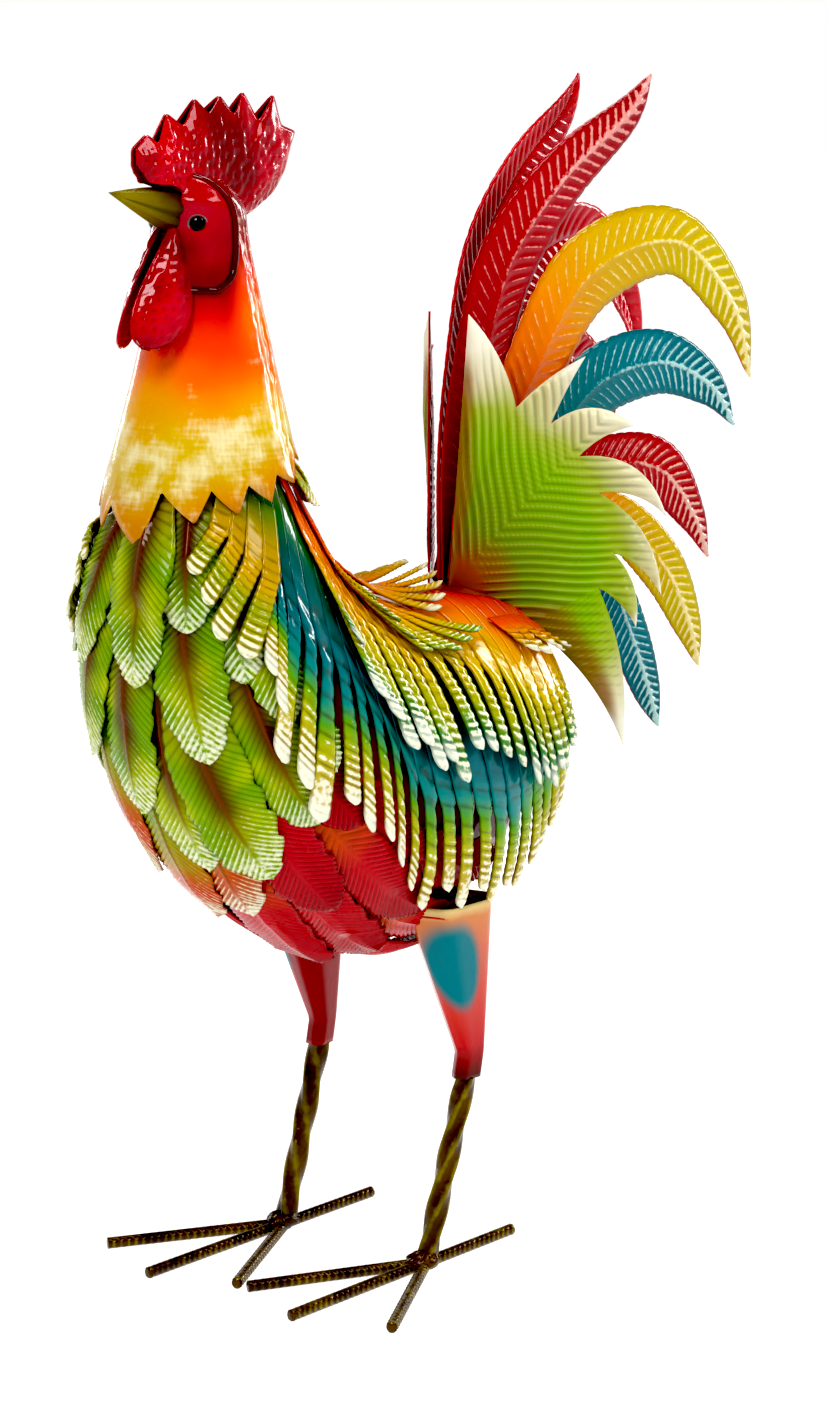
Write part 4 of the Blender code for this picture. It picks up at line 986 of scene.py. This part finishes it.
def plumes():
    paints = {}
    for level, (kind, degrees, spine, widths, pitch, slot, stops, cream) in enumerate(PLUMES):
        if (slot, cream) not in paints:
            paints[slot, cream] = plume_paint(f"{kind}_sprayed_enamel", stops, cream)
        table = np.array([(*p, w) for p, w in zip(spine, widths)], float)
        line = through(table, np.linspace(0, len(table) - 1, 200))
        run = run_of(line[:, :2])
        length = run[-1]
        widest = line[:, 2].max()
        heading = unit(np.gradient(line[:, :2], axis=0))

        def outline(x):
            return np.interp(x * length, run, line[:, 2]) / widest * (1 - 0.03 * ease(0.6, 1, (x * 34) % 1))

        along, share, across, wave = herringbone(length, widest, PLUME_SLANT, pitch, outline, PLUME_RIDGE,
                                                 0.93)
        back, up, half, toward_back, toward_up = (np.interp(along * length, run, values)
                                                  for values in (*line.T, *heading.T))
        toward_back, toward_up = np.moveaxis(unit(np.stack([toward_back, toward_up], -1)), -1, 0)
        fold = half * 0.13 * ease(0.1, 0.4, along) * (1 - np.abs(share) ** 1.3) + 0.6
        rib = 0.9 * np.exp(-(across / 1.3) ** 2)
        off = 0.6 + fold + rib + 0.7 * wave * ease(0.06, 0.2, along)
        points = plane_point(back - toward_up * across, up + toward_back * across, off, 1 + level * 2.1,
                             math.radians(degrees))
        relief = wave + 0.8 * np.exp(-(across / 1.5) ** 2)
        node = f"plume_{kind}_" + "{}"
        both_sides(node + "_blade", node, paints[slot, cream], slot, points, along, share, level, relief,
                   inside=plain_red, flip=True)


# The fan's fingers from the top down: tip and the notch below it as (back, up), and how far the upper and
# lower edges bow
FAN_START, FAN_HEEL = np.array((-4.0, 316.0)), np.array((16.0, 308.0))
FAN_SPLAY = math.radians(38.5)
FAN_RIB_PITCH = 5.8
FAN_FINGERS = [
    ((5.5, 447), (29, 402), 0.0, 0.07),
    ((63, 426), (46, 394), 0.05, -0.02),
    ((87, 392), (60, 378), 0.2, -0.08),
    ((103.5, 348), (70, 360), 0.2, -0.12),
    ((101.5, 309), (77, 331), 0.14, -0.1),
    ((89, 294), (70, 314), 0.13, -0.08),
    ((83, 236), (16, 308), 0.07, -0.1),
]
FAN_AXIS = unit(np.array((62.0, 66.0)))


def fan_paint():
    paint = Paint("fan_sprayed_enamel", 0.3, 0.4)
    along, across, _ = paint.place()
    drift = paint.noise(26, 3.0)
    base = paint.ramp(paint.times(drift, 0.05, along),
                      [(0.0, "7a2408"), (0.14, "9a440c"), (0.3, "76900c"), (0.6, "84b016"), (0.72, "a4b444"),
                       (0.82, "cfc9a0"), (0.92, "e6e3d0")])
    base = paint.stain(base, "8a5416", paint.soft(0.3, 1.0, paint.times(drift, 0.1, across)), 0.8)
    relief = paint.relief()
    # Painted shade: dark olive in the hollows between the ribs.
    base = paint.stain(base, "3d4a08", paint.soft(0.1, -0.9, relief), 0.35)
    # Painted highlight: pale lime on the ribs' crests.
    return paint.finish(paint.stain(base, "d4dc8a", paint.soft(0.4, 1.0, relief), 0.2))


def bowed(start, end, bow, steps):
    start, end = np.array(start, float), np.array(end, float)
    travel = end - start
    control = (start + end) / 2 + 2 * bow * np.array([-travel[1], travel[0]])
    t = np.linspace(0, 1, steps)[:, None]
    return (1 - t) ** 2 * start + 2 * t * (1 - t) * control + t ** 2 * end


def even(points, count):
    """The same line with evenly spaced points."""
    run = run_of(points)
    at = np.linspace(0, run[-1], count)
    return np.stack([np.interp(at, run, values) for values in points.T], -1)


def side_line(root, corner, edge):
    """One side of a finger: 47 steps from its root towards the corner, then 50 along its free edge."""
    if np.linalg.norm(root - corner) < 1:
        return np.concatenate([even(edge[:18], 48)[:-1], even(edge[17:], 50)])
    return np.concatenate([even(np.stack([root, corner]), 48)[:-1], even(edge, 50)])


def fan():
    material = fan_paint()
    pieces = [Piece(f"tail_fan_{side_name}_plate", material, (f"tail_fan_{side_name}",), "fan_enamel", 1.1,
                    side) for side_name, side in SIDES]
    before = FAN_START
    across = np.linspace(0, 1, 31)[None]
    from_middle = np.abs(across * 2 - 1)
    edges = {0: ease(0.7, 0.0, across), len(FAN_FINGERS) - 1: ease(0.0, 0.9, across)}
    for number, (tip, notch, bow_up, bow_down) in enumerate(FAN_FINGERS):
        root = [FAN_START + (FAN_HEEL - FAN_START) * (number + j) / len(FAN_FINGERS) for j in (0, 1)]
        notch = np.array(notch, float)
        upper = side_line(root[0], before, bowed(before, tip, bow_up, 80))
        lower = side_line(root[1], notch, bowed(tip, notch, bow_down, 80)[::-1])
        place = upper[:, None] * (1 - across[..., None]) + lower[:, None] * across[..., None]
        blend = np.linspace(0, 1, len(place))[:, None]
        away = place - FAN_START
        reach = np.linalg.norm(away, axis=-1)
        a, x = away @ FAN_AXIS, away @ np.array((FAN_AXIS[1], -FAN_AXIS[0]))
        wander = 1.3 * np.sin(a / 13) * np.sin(x / 9 + 1)
        ribs = np.cos((a - np.abs(x) * 0.85 + wander) / FAN_RIB_PITCH * 2 * np.pi)
        joined = ease(0.56, 0.46, blend)
        inside = joined + (1 - joined) * ease(0, 0.3, 1 - from_middle)
        inside = inside * ease(0.92, 0.66, blend) * ease(9, 22, reach)
        crown = 2.4 * ease(0.5, 0.7, blend) * (1 - from_middle ** 2) * ease(1, 0.9, blend)
        points = plane_point(place[..., 0], place[..., 1], 1.2 + 0.6 * ribs * inside + crown, 8.0, FAN_SPLAY)
        level = np.interp(reach, (0, 25, 60, 95, 135), (0, 0.2, 0.5, 0.78, 1.0))
        level = np.maximum(level, 0.95 * ease(0.55, 1.0, blend))
        brown_edge = edges.get(number, 0.0) * ease(1.0, 0.8, blend)
        for piece in pieces:
            piece.grid(points, level, brown_edge, 0.0, ribs * inside)
        before = notch
    for piece in pieces:
        piece.inside = plain_red
        piece.welded = True
        piece.make()


# Legs

KNEE = np.array((46.7, 29.9, 91.0))
FOOT_X = 45.25
TOE_RADIUS, TOE_LENGTH, TOE_RIB_PITCH = 3.0, 90, 3.7
SHANK_HALF, SHANK_TWIST = 4.3, 300
THIGH_TOP = np.array([(60, -2, 178), (60, 27, 178), (50, 36, 178), (33, 31, 178), (29, 4, 178),
                      (42, -7, 178)], float)
CUFF_SHARE = 0.14


def thigh_paint():
    paint = Paint("thigh_sprayed_enamel", 0.18, 0.6)
    along, across, side = paint.place()
    drift = paint.noise(30, 2.0)
    level = paint.times(drift, 0.03, along)
    base = paint.ramp(level, [(0.0, "5a1a10"), (0.08, "8e1c1c"), (0.2, "c0282c"), (0.42, "cc4a40"),
                              (0.75, "cf7058"), (0.93, "d48a54"), (1.0, "e0cf90")])
    up, over = (paint.maths("DIVIDE", paint.maths("SUBTRACT", guide, middle), half)
                for guide, middle, half in ((along, 0.66, 0.26), (across, 0.02, 0.72)))
    reach = paint.maths("SQRT", paint.maths("ADD", paint.times(up, up), paint.times(over, over)))
    patch = paint.soft(1.15, 0.7, paint.times(drift, 0.05, reach))
    base = paint.mix(patch, base, "047c86")
    from_front = paint.times(side, -0.75, across)
    inner = paint.maths("ADD", paint.soft(-0.85, -1.0, from_front), paint.soft(1.5, 1.7, across))
    return paint.finish(paint.mix(inner, base, "940812"))


def bronze_paint():
    paint = Paint("olive_bronze_enamel", 0.24, 0.6, 0.3)
    rough = paint.noise(180, 4.0)
    patches = paint.noise(40, 3.0)
    base = paint.mix(paint.soft(-0.9, 0.9, patches), "38220f", "604410")
    gold = paint.soft(0.2, 1.1, paint.times(rough, 0.4, paint.relief()))
    gold = paint.times(gold, paint.soft(-1.3, 0.6, patches))
    return paint.finish(paint.mix(gold, base, "8c7e1c"), rough)


def thigh(side_name, side, material):
    middle = THIGH_TOP.mean(axis=0)
    rim = middle + (THIGH_TOP - middle) * (1.12, 1.12, 1)
    small = np.array([[*(KNEE[:2] + unit((c - middle)[:2]) * 7.2), KNEE[2] + 10] for c in rim])
    cuff = small + (0, -2.5, -12)
    rings = []
    shares = np.linspace(0, 1, 40)
    for share in shares:
        if share < CUFF_SHARE:
            corners = cuff + (small - cuff) * share / CUFF_SHARE
        else:
            corners = small + (rim - small) * (share - CUFF_SHARE) / (1 - CUFF_SHARE)
        rings.append(rounded(corners, 9, 2))
    rings = np.array(rings)
    centre = rings.mean(axis=1, keepdims=True)
    bearing = np.degrees(np.arctan2(rings[..., 1] - centre[..., 1], rings[..., 0] - centre[..., 0]))
    facing = ((bearing + 50 + 180) % 360 - 180) / 90
    piece = Piece(f"thigh_funnel_{side_name}", material, (f"thigh_{side_name}",), "thigh_enamel", PLATE, side)
    piece.grid(rings, shares[:, None], facing, 0.5 - 0.5 * side, closed=True)
    piece.grid(lid(centre[-1] + (rings[-1] - centre[-1]) * 0.93 - (0, 0, 4)), 0.3, 0.9, closed=True)
    piece.make()


def shank(side_name, side, material):
    foot, knee = np.array((FOOT_X, 0, 5.0)), KNEE + (0, -2.5, -2)
    share = np.linspace(0, 1, 110)[:, None]
    corner = np.arange(24)[None] * 15.0
    radius = SHANK_HALF / np.maximum(np.abs(np.cos(np.radians((corner + 45) % 90 - 45))), 0.78)
    turn = np.radians(corner + SHANK_TWIST * share)
    x, y, z = (foot + (knee - foot) * share).T[..., None]
    points = np.stack(np.broadcast_arrays(x + radius * np.cos(turn), y + radius * np.sin(turn), z), -1)
    piece = Piece(f"shank_bar_{side_name}", material, (f"shank_{side_name}",), "leg_bronze", 0.0, side)
    piece.grid(points, relief=(radius - SHANK_HALF) / 1.2, closed=True)
    piece.make()


def toes(side_name, side, material):
    outer, inner = math.radians(30), math.radians(-27.6)
    bars = [("toe_bar", (FOOT_X, -95.9), (FOOT_X, 64.3))]
    bars += [(kind, (FOOT_X, 0.0), (FOOT_X + TOE_LENGTH * math.sin(turn), -TOE_LENGTH * math.cos(turn)))
             for kind, turn in (("toe_outer", outer), ("toe_inner", inner))]
    turn = np.radians(np.arange(16) * 22.5)[None]
    for kind, start, end in bars:
        start, end = np.array(start), np.array(end)
        length = np.linalg.norm(end - start)
        heading = (end - start) / length
        at = np.arange(0, length + 0.3, 0.62)
        at[-1] = length
        slant = at[:, None] + 1.4 * np.cos(turn * 2)
        rib = ease(0.45, 0.95, 0.5 + 0.5 * np.cos(slant / TOE_RIB_PITCH * 2 * np.pi))
        rib = rib * np.abs(np.cos(turn)) ** 0.5
        spine = np.exp(-((np.abs(np.sin(turn)) - 1) / 0.12) ** 2) * 0.6
        relief = np.maximum(rib, spine)
        radius = np.minimum(2.55 + 0.42 * relief, TOE_RADIUS)
        points = np.stack([start[0] + heading[0] * at[:, None] - heading[1] * radius * np.cos(turn),
                           start[1] + heading[1] * at[:, None] + heading[0] * radius * np.cos(turn),
                           TOE_RADIUS + radius * np.sin(turn)], -1)
        points = np.concatenate([lid(points[0])[1:], points, lid(points[-1])[1:]])
        relief = np.pad(relief, ((1, 1), (0, 0)))
        node = f"{kind}_{side_name}"
        piece = Piece(f"{kind}_ribbed_{side_name}", material, (node,), "leg_bronze", 0.0, side)
        piece.grid(points, relief=relief, closed=True)
        piece.make()


def weld(side_name, side, material):
    """The bead where the shank meets the toes."""
    polar = np.radians(np.linspace(1, 179, 22))[:, None]
    around = np.radians(np.arange(36) * 10)[None]
    lump = 1 + 0.12 * np.sin(3 * around + 1) * np.sin(polar) + 0.08 * np.sin(7 * around + polar * 5)
    radius = 7.2 * lump
    points = np.stack(np.broadcast_arrays(FOOT_X + radius * np.sin(polar) * np.cos(around),
                                          -3 + 1.15 * radius * np.sin(polar) * np.sin(around),
                                          5.2 + 0.62 * radius * np.cos(polar)), -1)
    piece = Piece(f"foot_weld_{side_name}", material, (), "leg_bronze", 0.0, side)
    piece.grid(points, relief=0.2, closed=True, flip=True)
    piece.make()


def legs():
    salmon, bronze = thigh_paint(), bronze_paint()
    for side_name, side in SIDES:
        for part, material in ((thigh, salmon), (shank, bronze), (toes, bronze), (weld, bronze)):
            part(side_name, side, material)


def body():
    paint = Paint("hull_sprayed_enamel", 0.3, 0.4)
    where = paint.nodes.new("ShaderNodeTexCoord")
    split = paint.nodes.new("ShaderNodeSeparateXYZ")
    paint.put(split.inputs[0], where.outputs["Object"])
    drift = paint.noise(20, 3.0)
    red = paint.mix(paint.soft(-0.8, 0.8, drift), "6e0612", "a00c20")
    height = paint.times(split.outputs["Y"], -0.5, split.outputs["Z"])
    ochre = paint.mix(paint.soft(-0.8, 0.8, drift), "8a3a08", "a8640c")
    upper = paint.soft(0.225, 0.255, paint.times(drift, 0.008, height))
    material = paint.finish(paint.mix(upper, red, ochre))
    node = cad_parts["body"]
    node.data.materials.clear()
    node.data.materials.append(material)
    node.data.shade_smooth()


# Studio

CAMERA_PLACE = (1.1330, -1.2948 - SHIFT_Y * MM, 0.5899)
CAMERA_HEADING, CAMERA_TILT = math.radians(40.234), math.radians(10.603)
AIM, STRIP_AIM = (0, 0, 0.3), (0, 0, 0.4)
LIGHTS = [
    ("key", (0.5, -2.0, 2.1), AIM, (1.0, 1.0), 34),
    ("side", (1.7, 0.3, 1.9), AIM, (0.9, 0.9), 17),
    ("seam_strip", (0.4, 2.0, 0.95), STRIP_AIM, (0.25, 1.0), 10),
    ("far_strip", (-2.0, 0.5, 0.9), STRIP_AIM, (0.25, 1.0), 6),
    ("top", (0.2, 0.3, 1.9), AIM, (0.7, 0.7), 14),
]
GAMMA, BLACK_LEVEL = 0.88, 0.055


def light(name, place, aim, size, power):
    data = bpy.data.lights.new(name, "AREA")
    data.shape = "RECTANGLE"
    data.size, data.size_y = size
    data.energy = power
    obj = bpy.data.objects.new(name, data)
    obj.location = place
    obj.rotation_euler = (Vector(aim) - Vector(place)).to_track_quat("-Z", "Y").to_euler()
    bpy.context.collection.objects.link(obj)


def studio():
    mesh = bpy.data.meshes.new("floor")
    mesh.from_pydata([(-8, -8, 0), (8, -8, 0), (8, 8, 0), (-8, 8, 0)], [], [(0, 1, 2, 3)])
    floor = bpy.data.objects.new("floor", mesh)
    bpy.context.collection.objects.link(floor)
    paint = Paint("floor_paper", 0.9, 0.0)
    paint.put(paint.shader.inputs["Base Color"],
              paint.mix(paint.soft(-1, 1, paint.noise(3, 2.0)), "969696", "9a9a9a"))
    paint.shader.inputs["Specular IOR Level"].default_value = 0.0
    paint.shader.inputs["Emission Color"].default_value = (1, 1, 1, 1)
    paint.shader.inputs["Emission Strength"].default_value = 1.0
    mesh.materials.append(paint.material)
    world = bpy.data.worlds.new("studio")
    bpy.context.scene.world = world
    world.use_nodes = True
    nodes, links = world.node_tree.nodes, world.node_tree.links
    where = nodes.new("ShaderNodeTexCoord")
    split = nodes.new("ShaderNodeSeparateXYZ")
    links.new(where.outputs["Generated"], split.inputs[0])
    ramp = nodes.new("ShaderNodeValToRGB")
    links.new(split.outputs["Z"], ramp.inputs[0])
    for element, (position, shade) in zip(ramp.color_ramp.elements, ((0.12, 1), (0.45, 0.1))):
        element.position = position
        element.color = (shade, shade, shade, 1)
    links.new(ramp.outputs[0], nodes["Background"].inputs["Color"])
    nodes["Background"].inputs["Strength"].default_value = 1.0
    for lamp in LIGHTS:
        light(*lamp)
    camera = bpy.data.objects.new("camera", bpy.data.cameras.new("camera"))
    bpy.context.collection.objects.link(camera)
    camera.data.lens = 95.25
    camera.data.sensor_width = 36
    camera.data.clip_start = 0.05
    camera.location = CAMERA_PLACE
    camera.rotation_euler = (math.pi / 2 - CAMERA_TILT, 0, CAMERA_HEADING)
    bpy.context.scene.camera = camera
    view = bpy.context.scene.view_settings
    view.view_transform = "Standard"
    view.gamma = GAMMA
    view.use_curve_mapping = True
    view.curve_mapping.black_level = (BLACK_LEVEL, BLACK_LEVEL, BLACK_LEVEL)
    view.curve_mapping.update()


for build in (body, plumage, neck, head, beak, eyes, comb, wattles, plumes, fan, legs, studio):
    build()
